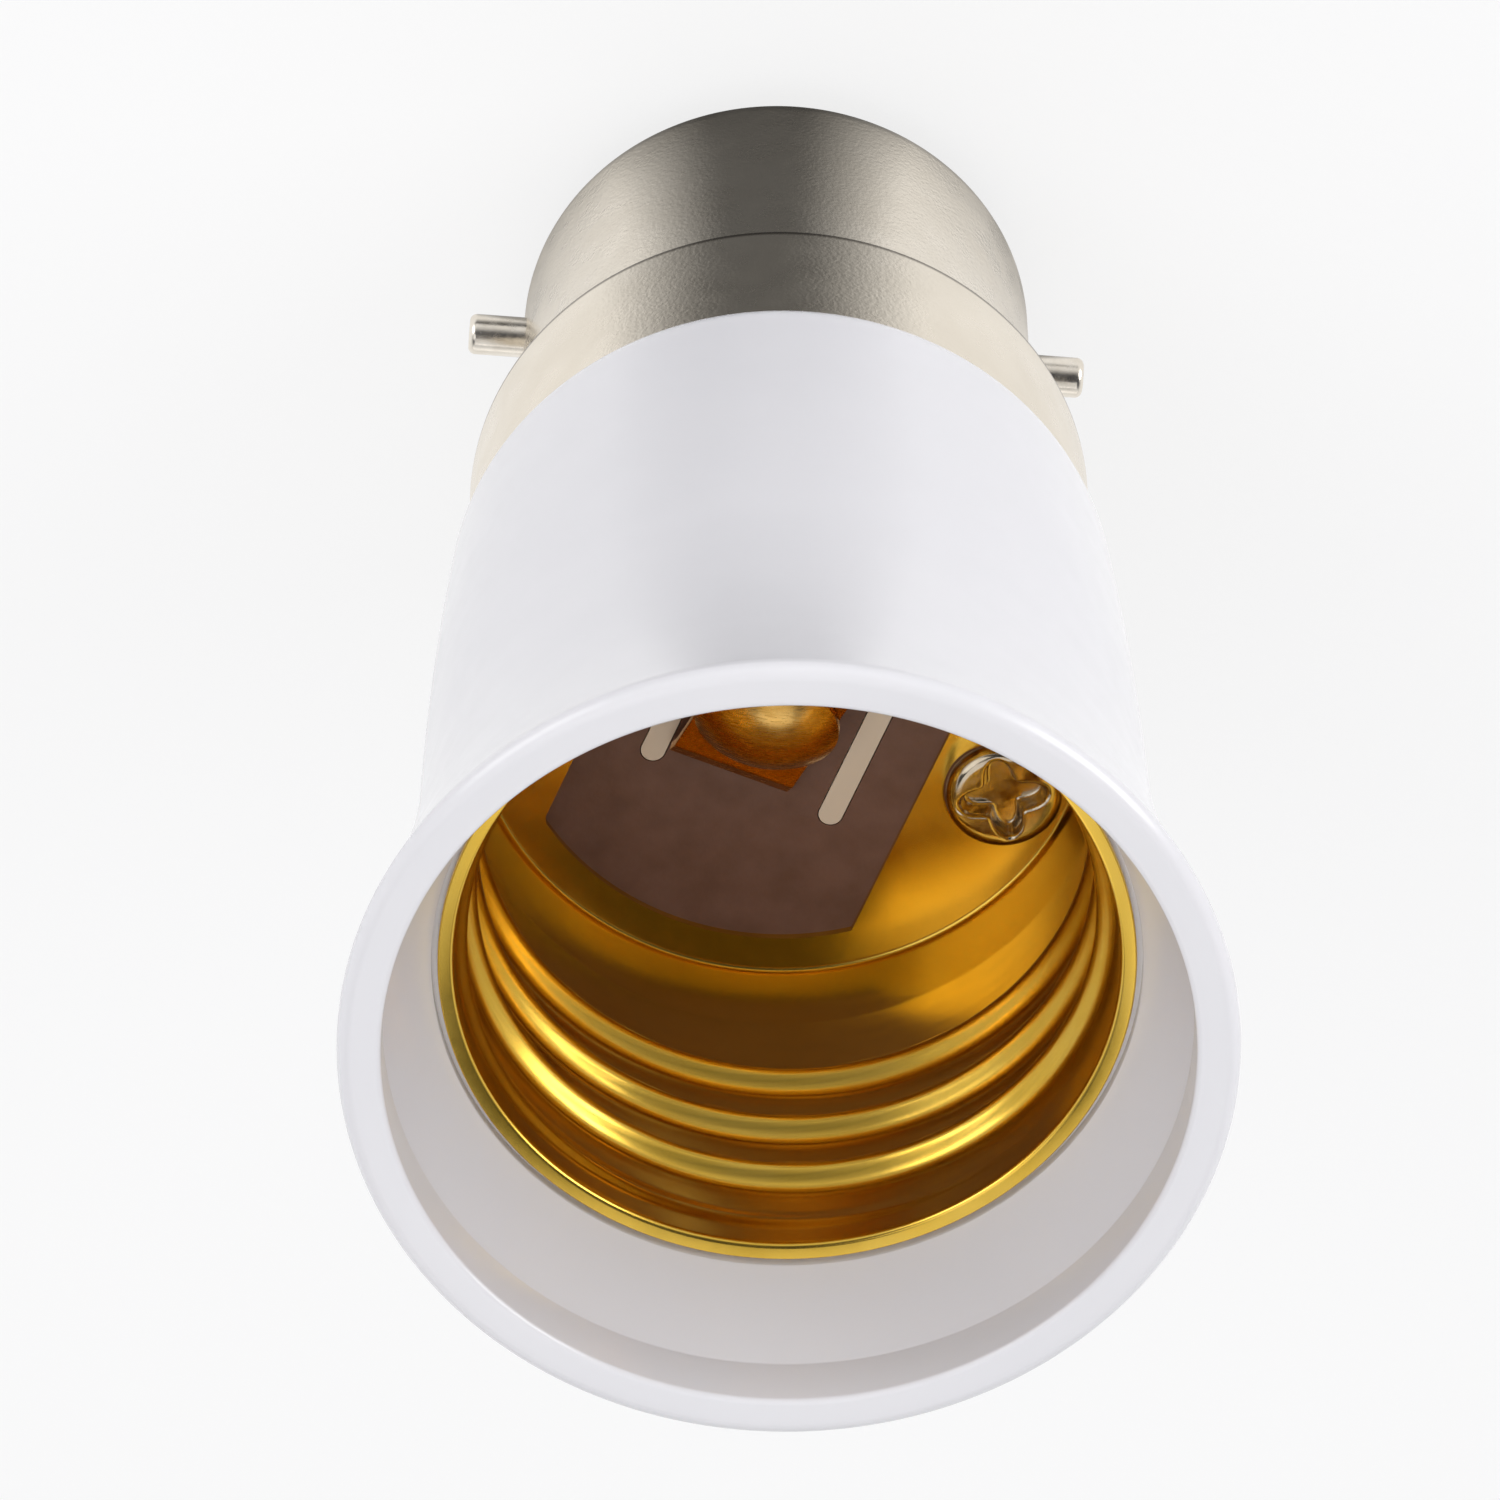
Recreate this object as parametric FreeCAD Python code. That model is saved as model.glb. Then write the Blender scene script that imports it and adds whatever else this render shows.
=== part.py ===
import FreeCAD, Part
import math
import os

# Lamp socket adapter, bayonet cap below and screw lamp socket above.
# Millimetres. +Z runs from the cap's end contacts (Z = 0) up to the open mouth.
# X runs through the two bayonet pins, Y through the two end contacts.

# Bayonet cap, pressed from thin plated sheet
cap_sheet = 0.35
barrel_radius = 11.0
barrel_length = 16.8
shoulder_radius = 2.0
end_opening_radius = 8.8
skirt_radius = 13.15
skirt_length = 8.3
step_chamfer = 0.45

# Bayonet pins
pin_radius = 0.88
pin_reach = 2.42
pin_height = 3.9
pin_chamfer = 0.35
pin_head_radius = 1.5
pin_head_thickness = 0.6

# Glass insulator that closes the cap's end
insulator_proud = 1.5
insulator_depth = 6.0
insulator_face_radius = 7.6

# End contacts and the solder drops on them
contact_spacing = 11.5
contact_plate_radius = 2.3
contact_plate_thickness = 0.5
contact_shank_radius = 1.35
contact_shank_proud = 1.0
solder_radius = 1.9
solder_flat_radius = 1.15
solder_height = 0.7
solder_bulge = 0.12

# Moulded sleeve, outside
shoulder_start_radius = 13.6
shoulder_top_radius = 13.92
shoulder_height = 1.0
shoulder_bulge = 0.08
barrel_top_radius = 14.85
flare_length = 17.0
flare_hollow = 0.57
mouth_radius = 17.75
rim_round = 0.6

# Moulded sleeve, inside
mouth_bore_radius = 16.0
mouth_bore_depth = 2.6
rim_inner_chamfer = 0.25
ledge_foot_radius = 14.15
web_rise = 4.6
web_thickness = 2.5
neck_length = 6.2
neck_wall = 1.6
post_radius = 2.7
post_length = 5.0

# Phenolic disc that carries the centre contact
disc_thickness = 1.5
slot_offset = 4.0
slot_length = 9.7
slot_width = 1.1
socket_turn = -18.0

# Screw shell, rolled from brass sheet
shell_sheet = 0.35
shell_bore_radius = 13.25
shell_foot_radius = 12.98
shell_foot_height = 4.0
shell_depth = 21.1
lip_radius = 13.9
foot_bevel = 0.6
lip_bevel = 0.3
window_radius = 11.35
channel_width = 13.9
mouth_depth = 7.1

# Rolled thread of the shell, its crests standing inwards
thread_pitch = 3.629
thread_depth = 1.03
thread_crest_drop = 3.9
thread_crest_turn = 90.0
thread_lip_gap = 1.2
thread_run_out = 2.8
thread_sides = 36
thread_steps = 6

# Screws that hold the shell down
screw_circle = 9.9
screw_head_radius = 2.5
screw_head_height = 1.35
screw_head_round = 0.7
screw_core_radius = 1.2
screw_tip_radius = 0.4
screw_length = 9.0
recess_width = 0.75
recess_reach = 1.7
recess_depth = 0.8

# Spring contact at the socket's centre, lengths along the socket's Y
strip_thickness = 0.4
strip_width = 5.3
strip_offset = 0.9
strip_bend = 0.3
foot_end = 9.3
foot_bend = 5.6
tongue_root = 4.9
tongue_knee = 2.95
tongue_slope = 24.0
tongue_lip = 0.7
lip_slope = 44.0
tip_gap = 0.5
root_gap = 0.12
button_radius = 3.0
button_rim = 0.35
button_height = 1.6
button_back = 0.6
button_stem_radius = 0.9
button_head_radius = 1.5
button_head_height = 0.3

# Rivet, solder tags and leads
rivet_radius = 0.9
rivet_bore = 0.5
rivet_head_radius = 1.35
rivet_head_height = 0.4
tag_thickness = 0.4
tag_radius = 2.3
tag_width = 2.0
tag_length = 3.9
shell_tag_drop = 8.6
centre_tag_drop = 3.4
lead_radius = 0.7
lead_overlap = 2.2
shell_lead_turn = 23.6
shell_lead_drop = 16.0
centre_lead_turn = 24.6
centre_lead_drop = 15.4

# Clearances between pieces
fit = 0.05
slip = 0.1

# Heights and radii that follow from the sizes above
insulator_face = solder_height + contact_plate_thickness
cap_end = insulator_face + insulator_proud
pin_axis = cap_end + pin_height
step = cap_end + barrel_length
seat = step + skirt_length
web_under = seat + web_rise
web_top = web_under + web_thickness
disc_top = web_top + disc_thickness
floor_top = disc_top + shell_sheet
lip_top = disc_top + shell_depth
mouth = lip_top + mouth_depth
bore_radius = shell_bore_radius + shell_sheet + slip
neck_radius = skirt_radius - cap_sheet - fit
cavity_radius = neck_radius - neck_wall
barrel_inside = barrel_radius - cap_sheet
pin_tip_radius = barrel_radius + pin_reach
Z_AXIS = FreeCAD.Vector(0, 0, 1)


def point(r, z):
    return FreeCAD.Vector(r, 0, z)


def line(a, b):
    return Part.LineSegment(point(*a), point(*b)).toShape()


def arc(a, middle, b):
    return Part.Arc(point(*a), point(*middle), point(*b)).toShape()


def corner(centre, radius, start, end):
    """Arc about a centre in the RZ plane, angles in degrees from +R."""
    spots = []
    for angle in (start, (start + end) / 2, end):
        turn = math.radians(angle)
        spots.append((centre[0] + radius * math.cos(turn), centre[1] + radius * math.sin(turn)))
    return arc(*spots)


def revolve(edges):
    face = Part.Face(Part.Wire(edges))
    return face.revolve(FreeCAD.Vector(0, 0, 0), Z_AXIS, 360)


def outline(spots):
    """Closed run of straight edges through the spots in the RZ plane."""
    return [line(spots[i], spots[(i + 1) % len(spots)]) for i in range(len(spots))]


def cylinder(radius, low, high, x=0.0, y=0.0):
    return Part.makeCylinder(radius, high - low, FreeCAD.Vector(x, y, low), Z_AXIS)


def box(x0, x1, y0, y1, z0, z1):
    return Part.makeBox(x1 - x0, y1 - y0, z1 - z0, FreeCAD.Vector(x0, y0, z0))


def turned(shape):
    """Turn a piece of the socket from the socket's own axes to the cap's."""
    shape.rotate(FreeCAD.Vector(0, 0, 0), Z_AXIS, socket_turn)
    return shape


def place(x, y):
    """Socket axes to cap axes for a point in plan."""
    turn = math.radians(socket_turn)
    return (x * math.cos(turn) - y * math.sin(turn), x * math.sin(turn) + y * math.cos(turn))


def bayonet_cap():
    """Drawn cup: open end below, rolled shoulder, barrel, one step out to the skirt."""
    end_inside = cap_end + cap_sheet
    step_inside = step + cap_sheet
    skirt_inside = skirt_radius - cap_sheet
    shoulder_centre = (barrel_radius - shoulder_radius, cap_end + shoulder_radius)
    edges = [
        line((end_opening_radius, cap_end), (shoulder_centre[0], cap_end)),
        corner(shoulder_centre, shoulder_radius, -90, 0),
        line((barrel_radius, shoulder_centre[1]), (barrel_radius, step)),
        line((barrel_radius, step), (skirt_radius - step_chamfer, step)),
        line((skirt_radius - step_chamfer, step), (skirt_radius, step + step_chamfer)),
        line((skirt_radius, step + step_chamfer), (skirt_radius, seat)),
        line((skirt_radius, seat), (skirt_inside, seat)),
        line((skirt_inside, seat), (skirt_inside, step_inside)),
        line((skirt_inside, step_inside), (barrel_inside, step_inside)),
        line((barrel_inside, step_inside), (barrel_inside, shoulder_centre[1])),
        line((barrel_inside, shoulder_centre[1]), (shoulder_centre[0], end_inside)),
        line((shoulder_centre[0], end_inside), (end_opening_radius, end_inside)),
        line((end_opening_radius, end_inside), (end_opening_radius, cap_end)),
    ]
    shell = revolve(edges)
    hole = Part.makeCylinder(pin_radius + fit, 2 * skirt_radius,
                             FreeCAD.Vector(-skirt_radius, 0, pin_axis), FreeCAD.Vector(1, 0, 0))
    return shell.cut(hole)


def bayonet_pin(side):
    """Turned pin with a chamfered tip, headed over inside the barrel."""
    head_in = math.sqrt(barrel_inside ** 2 - pin_head_radius ** 2) - fit
    root = head_in - pin_head_thickness
    spots = [(0, root), (pin_head_radius, root), (pin_head_radius, head_in), (pin_radius, head_in),
             (pin_radius, pin_tip_radius - pin_chamfer),
             (pin_radius - pin_chamfer, pin_tip_radius), (0, pin_tip_radius)]
    pin = revolve(outline(spots))
    pin.rotate(FreeCAD.Vector(0, 0, 0), FreeCAD.Vector(0, 1, 0), 90 * side)
    pin.translate(FreeCAD.Vector(0, 0, pin_axis))
    return pin


def cap_insulator():
    """Pressed glass plug: proud conical face, body behind the rolled shoulder."""
    throat = end_opening_radius - fit
    body = barrel_inside - slip
    behind = cap_end + cap_sheet + fit
    body_start = cap_end + shoulder_radius
    top = cap_end + insulator_depth
    pocket = pin_head_radius + slip
    spots = [(0, insulator_face), (insulator_face_radius, insulator_face), (throat, cap_end),
             (throat, behind), (barrel_radius - shoulder_radius, behind), (body, body_start),
             (body, top), (0, top)]
    plug = revolve(outline(spots))
    notch_start = math.sqrt(barrel_inside ** 2 - pin_head_radius ** 2) - pin_head_thickness - slip
    for side in (1, -1):
        near, far = sorted((side * notch_start, side * barrel_radius))
        plug = plug.cut(box(near, far, -pocket, pocket, pin_axis - pocket, top + 1))
        plug = plug.cut(cylinder(contact_shank_radius + fit, 0, top + 1, 0, side * contact_spacing / 2))
    return plug


def end_contact(side):
    """Eyelet through the insulator; its bore takes the lead's bared end."""
    y = side * contact_spacing / 2
    top = cap_end + insulator_depth + contact_shank_proud
    plate = cylinder(contact_plate_radius, solder_height, insulator_face, 0, y)
    shank = cylinder(contact_shank_radius, solder_height, top, 0, y)
    bore = cylinder(lead_radius + fit, insulator_face, top, 0, y)
    return plate.fuse(shank).removeSplitter().cut(bore)


def solder_drop(side):
    """Drop of solder, dressed flat where a holder's plunger bears on it."""
    middle = ((solder_flat_radius + solder_radius) / 2 + solder_bulge, solder_height / 2 - solder_bulge)
    edges = [
        line((0, 0), (solder_flat_radius, 0)),
        arc((solder_flat_radius, 0), middle, (solder_radius, solder_height)),
        line((solder_radius, solder_height), (0, solder_height)),
        line((0, solder_height), (0, 0)),
    ]
    drop = revolve(edges)
    drop.translate(FreeCAD.Vector(0, side * contact_spacing / 2, 0))
    return drop


def sleeve_outline():
    """Half section of the moulded sleeve, from its neck round the mouth and back."""
    shoulder_top = seat + shoulder_height
    flare_start = mouth - rim_round - flare_length
    flare_end = mouth - rim_round
    neck_end = seat - neck_length
    recess_floor = lip_top - shell_sheet - fit
    bore_edge = mouth_bore_radius + rim_inner_chamfer
    flare_middle = ((barrel_top_radius + mouth_radius) / 2 - flare_hollow,
                    (flare_start + flare_end) / 2)
    shoulder_middle = ((shoulder_start_radius + shoulder_top_radius) / 2 + shoulder_bulge,
                       seat + shoulder_height / 2)
    return [
        line((cavity_radius, neck_end), (neck_radius, neck_end)),
        line((neck_radius, neck_end), (neck_radius, seat)),
        line((neck_radius, seat), (shoulder_start_radius, seat)),
        arc((shoulder_start_radius, seat), shoulder_middle, (shoulder_top_radius, shoulder_top)),
        line((shoulder_top_radius, shoulder_top), (barrel_top_radius, flare_start)),
        arc((barrel_top_radius, flare_start), flare_middle, (mouth_radius, flare_end)),
        corner((mouth_radius - rim_round, flare_end), rim_round, 0, 90),
        line((mouth_radius - rim_round, mouth), (bore_edge, mouth)),
        line((bore_edge, mouth), (mouth_bore_radius, mouth - rim_inner_chamfer)),
        line((mouth_bore_radius, mouth - rim_inner_chamfer), (mouth_bore_radius, mouth - mouth_bore_depth)),
        line((mouth_bore_radius, mouth - mouth_bore_depth), (ledge_foot_radius, lip_top)),
        line((ledge_foot_radius, lip_top), (ledge_foot_radius, recess_floor)),
        line((ledge_foot_radius, recess_floor), (bore_radius, recess_floor)),
        line((bore_radius, recess_floor), (bore_radius, web_top)),
        line((bore_radius, web_top), (0, web_top)),
        line((0, web_top), (0, web_under)),
        line((0, web_under), (cavity_radius, web_under)),
        line((cavity_radius, web_under), (cavity_radius, neck_end)),
    ]


def slot(width, length, low, high, x):
    """Round-ended bar along the channel, in the socket's axes."""
    reach = (length - width) / 2
    bar = box(x - width / 2, x + width / 2, -reach, reach, low, high)
    for end in (-reach, reach):
        bar = bar.fuse(cylinder(width / 2, low, high, x, end))
    return bar.removeSplitter()


def sleeve():
    """One moulding: flared barrel, web with ribs and screw posts, neck for the cap."""
    body = revolve(sleeve_outline())
    inside = cylinder(cavity_radius + neck_wall / 2, web_under - post_length, web_under)
    extras = []
    for side in (1, -1):
        extras.append(slot(slot_width - 2 * fit, slot_length - 2 * fit, web_top, disc_top, side * slot_offset))
        post = cylinder(post_radius, web_under - post_length, web_under, side * screw_circle, 0)
        extras.append(post.common(inside))
    body = body.fuse([turned(piece) for piece in extras]).removeSplitter()
    for side in (1, -1):
        hole = cylinder(screw_core_radius + fit, web_under - post_length, web_top, side * screw_circle, 0)
        body = body.cut(turned(hole))
    body = body.cut(turned(cylinder(rivet_radius + fit, web_under - 1, web_top + 1, *rivet_spot())))
    return body.cut(turned(tag_slit(web_under - 1, web_top + 1)))


def rivet_spot():
    return (strip_offset, -(foot_bend + foot_end) / 2)


def tag_slit(low, high):
    """Slit that the shell's solder tag passes down through, in the socket's axes."""
    inner = screw_circle - tag_length - tag_thickness - slip
    outer = screw_circle - tag_length + slip
    reach = tag_width / 2 + slip
    return box(inner, outer, -reach, reach, low, high)


def contact_disc():
    disc = cylinder(bore_radius - slip, web_top, disc_top)
    for side in (1, -1):
        disc = disc.cut(slot(slot_width, slot_length, web_top - 1, disc_top + 1, side * slot_offset))
        disc = disc.cut(cylinder(screw_core_radius + slip, web_top - 1, disc_top + 1, side * screw_circle, 0))
    disc = disc.cut(cylinder(rivet_radius + fit, web_top - 1, disc_top + 1, *rivet_spot()))
    disc = disc.cut(tag_slit(web_top - 1, disc_top + 1))
    return turned(disc)


def folded(spots, thickness, bend, width, x, round_start=False):
    """Strip of sheet folded along a path in the YZ plane and centred on x."""
    half = thickness / 2
    middle_radius = bend + half
    runs = []
    for a, b in zip(spots, spots[1:]):
        length = math.dist(a, b)
        runs.append(((b[0] - a[0]) / length, (b[1] - a[1]) / length))

    def shifted(spot, run, along, side):
        return (spot[0] + run[0] * along - run[1] * half * side, spot[1] + run[1] * along + run[0] * half * side)

    def vector(spot):
        return FreeCAD.Vector(x - width / 2, spot[0], spot[1])

    sides = {}
    for side in (1, -1):
        edges = []
        last = shifted(spots[0], runs[0], 0, side)
        for spot, before, after in zip(spots[1:-1], runs, runs[1:]):
            cross = before[0] * after[1] - before[1] * after[0]
            turn = math.asin(cross)
            hand = 1 if turn > 0 else -1
            reach = middle_radius * math.tan(abs(turn) / 2)
            start = shifted(spot, before, -reach, side)
            end = shifted(spot, after, reach, side)
            centre = shifted(spot, before, -reach, 0)
            centre = (centre[0] - before[1] * middle_radius * hand, centre[1] + before[0] * middle_radius * hand)
            away = (spot[0] - centre[0], spot[1] - centre[1])
            scale = (middle_radius - side * hand * half) / math.hypot(*away)
            crown = (centre[0] + away[0] * scale, centre[1] + away[1] * scale)
            edges.append(Part.LineSegment(vector(last), vector(start)).toShape())
            edges.append(Part.Arc(vector(start), vector(crown), vector(end)).toShape())
            last = end
        finish = shifted(spots[-1], runs[-1], 0, side)
        edges.append(Part.LineSegment(vector(last), vector(finish)).toShape())
        sides[side] = (edges, finish)
    first = [shifted(spots[0], runs[0], 0, side) for side in (1, -1)]
    tip = Part.LineSegment(vector(sides[1][1]), vector(sides[-1][1])).toShape()
    if round_start:
        behind = (spots[0][0] - runs[0][0] * half, spots[0][1] - runs[0][1] * half)
        root = Part.Arc(vector(first[0]), vector(behind), vector(first[1])).toShape()
    else:
        root = Part.LineSegment(vector(first[0]), vector(first[1])).toShape()
    edges = sides[1][0] + [tip] + sides[-1][0][::-1] + [root]
    face = Part.Face(Part.Wire(edges))
    return face.extrude(FreeCAD.Vector(width, 0, 0))


def thread_inset(angle, height, low, top):
    """How far the rolled thread stands in from the plain wall, angle in degrees."""
    def eased(share):
        share = max(0.0, min(1.0, share))
        return share * share * (3 - 2 * share)

    crest = lip_top - thread_crest_drop
    phase = (height - crest) / thread_pitch - (angle - thread_crest_turn) / 360
    wave = (1 + math.cos(2 * math.pi * phase)) / 2
    fade = eased((height - low) / thread_run_out) * eased((top - height) / thread_run_out)
    return thread_depth * wave * fade


def thread_rings(radius, low, top):
    """Rings of points up a wall that carries the right-hand thread."""
    count = round((top - low) * thread_steps / thread_pitch)
    rings = []
    for j in range(count + 1):
        height = low + (top - low) * j / count
        ring = []
        for i in range(thread_sides):
            angle = 360 * i / thread_sides
            r = radius - thread_inset(angle, height, low, top)
            turn = math.radians(angle)
            ring.append(FreeCAD.Vector(r * math.cos(turn), r * math.sin(turn), height))
        rings.append(ring)
    return rings


def threaded_wall(low, top):
    """Sheet wall rolled to a thread, the same wave inside and out."""
    def facet(*corners):
        return Part.Face(Part.makePolygon([*corners, corners[0]]))

    inner = thread_rings(shell_bore_radius, low, top)
    outer = thread_rings(shell_bore_radius + shell_sheet, low, top)
    faces = []
    for rings in (inner, outer):
        for below, above in zip(rings, rings[1:]):
            for i in range(thread_sides):
                j = (i + 1) % thread_sides
                faces.append(facet(below[i], below[j], above[j]))
                faces.append(facet(below[i], above[j], above[i]))
    for end in (0, -1):
        faces += facet(*outer[end]).cut(facet(*inner[end])).Faces
    return Part.makeSolid(Part.makeShell(faces))


def screw_shell():
    """Drawn sheet cup, its wall rolled to a thread and its lip turned out; the floor's
    window leaves two ears."""
    foot_out = shell_foot_radius + shell_sheet
    wall_out = shell_bore_radius + shell_sheet
    straight = disc_top + shell_foot_height
    thread_top = lip_top - thread_lip_gap
    under_lip = lip_top - shell_sheet
    cup = [
        (0, disc_top), (foot_out - foot_bevel, disc_top), (foot_out, disc_top + foot_bevel),
        (wall_out, straight), (shell_bore_radius, straight), (shell_foot_radius, floor_top), (0, floor_top),
    ]
    lip = [
        (wall_out, thread_top), (wall_out, under_lip), (lip_radius, under_lip), (lip_radius, lip_top),
        (shell_bore_radius + lip_bevel, lip_top), (shell_bore_radius, lip_top - lip_bevel),
        (shell_bore_radius, thread_top),
    ]
    shell = revolve(outline(cup)).fuse([threaded_wall(straight, thread_top), revolve(outline(lip))])
    window = cylinder(window_radius, disc_top - 1, floor_top + 1)
    half = channel_width / 2
    window = window.common(box(-half, half, -window_radius, window_radius, disc_top - 1, floor_top + 1))
    shell = shell.cut(window)
    for side in (1, -1):
        shell = shell.cut(cylinder(screw_core_radius + slip, disc_top - 1, floor_top + 1, side * screw_circle, 0))
    return turned(shell)


def along(slope, length):
    """Step along a slope that falls towards +Y, angle in degrees."""
    turn = math.radians(slope)
    return (length * math.cos(turn), -length * math.sin(turn))


def tongue_path():
    """Middle line of the tongue in the YZ plane: root, knee and tip."""
    half = strip_thickness / 2
    lip = along(lip_slope, tongue_lip)
    tip_height = disc_top + tip_gap + half * math.cos(math.radians(lip_slope))
    knee = (tongue_knee, tip_height - lip[1])
    root_height = knee[1] + (tongue_knee + tongue_root) * math.tan(math.radians(tongue_slope))
    return [(-tongue_root, root_height), knee, (knee[0] + lip[0], tip_height)]


def contact_foot():
    """Foot riveted to the disc, bent up into the leg that carries the tongue."""
    root = tongue_path()[0]
    corner_spot = (-foot_bend, disc_top + strip_thickness / 2)
    reach = math.dist(corner_spot, root)
    share = 1 - (strip_thickness / 2 + root_gap) / reach
    leg_end = (corner_spot[0] + share * (root[0] - corner_spot[0]),
               corner_spot[1] + share * (root[1] - corner_spot[1]))
    path = [(-foot_end, corner_spot[1]), corner_spot, leg_end]
    foot = folded(path, strip_thickness, strip_bend, strip_width, strip_offset)
    foot = foot.cut(cylinder(rivet_radius + fit, disc_top - 1, disc_top + 1, *rivet_spot()))
    return turned(foot)


def on_tongue(shape):
    """Set a piece, made upright at the origin, square on the tongue's upper side."""
    root = tongue_path()[0]
    run = (tongue_root - button_back) / math.cos(math.radians(tongue_slope))
    step_y, step_z = along(tongue_slope, run)
    lift = strip_thickness / 2
    slope = math.radians(tongue_slope)
    shape.rotate(FreeCAD.Vector(0, 0, 0), FreeCAD.Vector(1, 0, 0), -tongue_slope)
    shape.translate(FreeCAD.Vector(strip_offset, root[0] + step_y + lift * math.sin(slope),
                                   root[1] + step_z + lift * math.cos(slope)))
    return shape


def contact_leaf():
    """Springy tongue: falls from its root to a free tip that is turned down."""
    leaf = folded(tongue_path(), strip_thickness, strip_bend, strip_width, strip_offset, round_start=True)
    hole = cylinder(button_stem_radius + fit, -2 * strip_thickness, strip_thickness)
    return turned(leaf.cut(on_tongue(hole)))


def contact_button():
    """Turned domed button, its stem riveted over under the tongue."""
    rise = button_height - button_rim
    radius = (button_radius ** 2 + rise ** 2) / (2 * rise)
    half_turn = math.asin(button_radius / radius) / 2
    shoulder = (radius * math.sin(half_turn), button_height - radius * (1 - math.cos(half_turn)))
    under = -strip_thickness
    head = under - button_head_height
    edges = [
        line((0, head), (button_head_radius, head)),
        line((button_head_radius, head), (button_head_radius, under)),
        line((button_head_radius, under), (button_stem_radius, under)),
        line((button_stem_radius, under), (button_stem_radius, 0)),
        line((button_stem_radius, 0), (button_radius, 0)),
        line((button_radius, 0), (button_radius, button_rim)),
        arc((button_radius, button_rim), shoulder, (0, button_height)),
        line((0, button_height), (0, head)),
    ]
    return turned(on_tongue(revolve(edges)))


def shell_screw(side):
    """Pan-head screw with a cross recess; one of the two also clamps the solder tag."""
    under = floor_top + (tag_thickness if side > 0 else 0)
    top = under + screw_head_height
    tip = under - screw_length
    flat = screw_head_radius - screw_head_round
    edges = [
        line((0, tip), (screw_tip_radius, tip)),
        line((screw_tip_radius, tip), (screw_core_radius, tip + screw_core_radius)),
        line((screw_core_radius, tip + screw_core_radius), (screw_core_radius, under)),
        line((screw_core_radius, under), (screw_head_radius, under)),
        line((screw_head_radius, under), (screw_head_radius, top - screw_head_round)),
        corner((flat, top - screw_head_round), screw_head_round, 0, 90),
        line((flat, top), (0, top)),
        line((0, top), (0, tip)),
    ]
    screw = revolve(edges)
    half = recess_width / 2
    for reach_x, reach_y in ((recess_reach, half), (half, recess_reach)):
        screw = screw.cut(box(-reach_x, reach_x, -reach_y, reach_y, top - recess_depth, top + 1))
    screw.translate(FreeCAD.Vector(side * screw_circle, 0, 0))
    return turned(screw)


def contact_rivet():
    """Tubular rivet through the strip's foot, the disc, the web and the solder tag."""
    x, y = rivet_spot()
    seat_top = disc_top + strip_thickness
    seat_low = web_under - tag_thickness
    top = seat_top + rivet_head_height
    low = seat_low - rivet_head_height
    rivet = cylinder(rivet_radius, low, top, x, y)
    rivet = rivet.fuse([cylinder(rivet_head_radius, seat_top, top, x, y),
                        cylinder(rivet_head_radius, low, seat_low, x, y)]).removeSplitter()
    return turned(rivet.cut(cylinder(rivet_bore, low - 1, top + 1, x, y)))


def solder_tag(hole, drop):
    """Stamped ring with a tongue folded down, ring under side at the origin."""
    high = tag_thickness / 2
    path = [(0, high), (tag_length + high, high), (tag_length + high, tag_thickness - drop)]
    tongue = folded(path, tag_thickness, tag_thickness / 2, tag_width, 0)
    ring = cylinder(tag_radius, 0, tag_thickness)
    return ring.fuse(tongue).removeSplitter().cut(cylinder(hole, -1, 1))


def shell_tag():
    tag = solder_tag(screw_core_radius + slip, shell_tag_drop)
    tag.rotate(FreeCAD.Vector(0, 0, 0), Z_AXIS, 90)
    tag.translate(FreeCAD.Vector(screw_circle, 0, floor_top))
    return turned(tag)


def centre_tag():
    tag = solder_tag(rivet_radius + fit, centre_tag_drop)
    x, y = rivet_spot()
    tag.translate(FreeCAD.Vector(x, y, web_under - tag_thickness))
    return turned(tag)


def lead(route):
    """Insulated wire: straight runs joined by arcs as large as the runs allow."""
    spots = [FreeCAD.Vector(*spot) for spot in route]
    edges = []
    last = spots[0]
    for before, spot, after in zip(spots, spots[1:], spots[2:]):
        to_here = (spot - before).normalize()
        onward = (after - spot).normalize()
        half = to_here.getAngle(onward) / 2
        reach = 0.45 * min((spot - before).Length, (after - spot).Length)
        radius = reach / math.tan(half)
        start = spot - to_here * reach
        end = spot + onward * reach
        inward = (onward - to_here).normalize()
        crown = spot + inward * (radius / math.cos(half) - radius)
        edges.append(Part.LineSegment(last, start).toShape())
        edges.append(Part.Arc(start, crown, end).toShape())
        last = end
    edges.append(Part.LineSegment(last, spots[-1]).toShape())
    path = Part.Wire(edges)
    ring = Part.Wire(Part.makeCircle(lead_radius, spots[0], spots[1] - spots[0]))
    return path.makePipeShell([ring], True, False)


def shell_lead():
    leg = screw_circle - tag_length - tag_thickness
    x, y = place(leg - lead_radius - fit, 0)
    bottom = floor_top + tag_thickness - shell_tag_drop
    return lead([(x, y, bottom + lead_overlap), (x, y, shell_lead_turn),
                 (0, contact_spacing / 2, shell_lead_drop), (0, contact_spacing / 2, insulator_face)])


def centre_lead():
    rivet_x, rivet_y = rivet_spot()
    x, y = place(rivet_x, rivet_y + tag_length + tag_thickness + lead_radius + fit)
    bottom = web_under - centre_tag_drop
    return lead([(x, y, bottom + lead_overlap), (x, y, centre_lead_turn),
                 (0, -contact_spacing / 2, centre_lead_drop), (0, -contact_spacing / 2, insulator_face)])


def export(name, shape):
    shape.exportStep(os.path.join("parts", name + ".step"))


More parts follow.
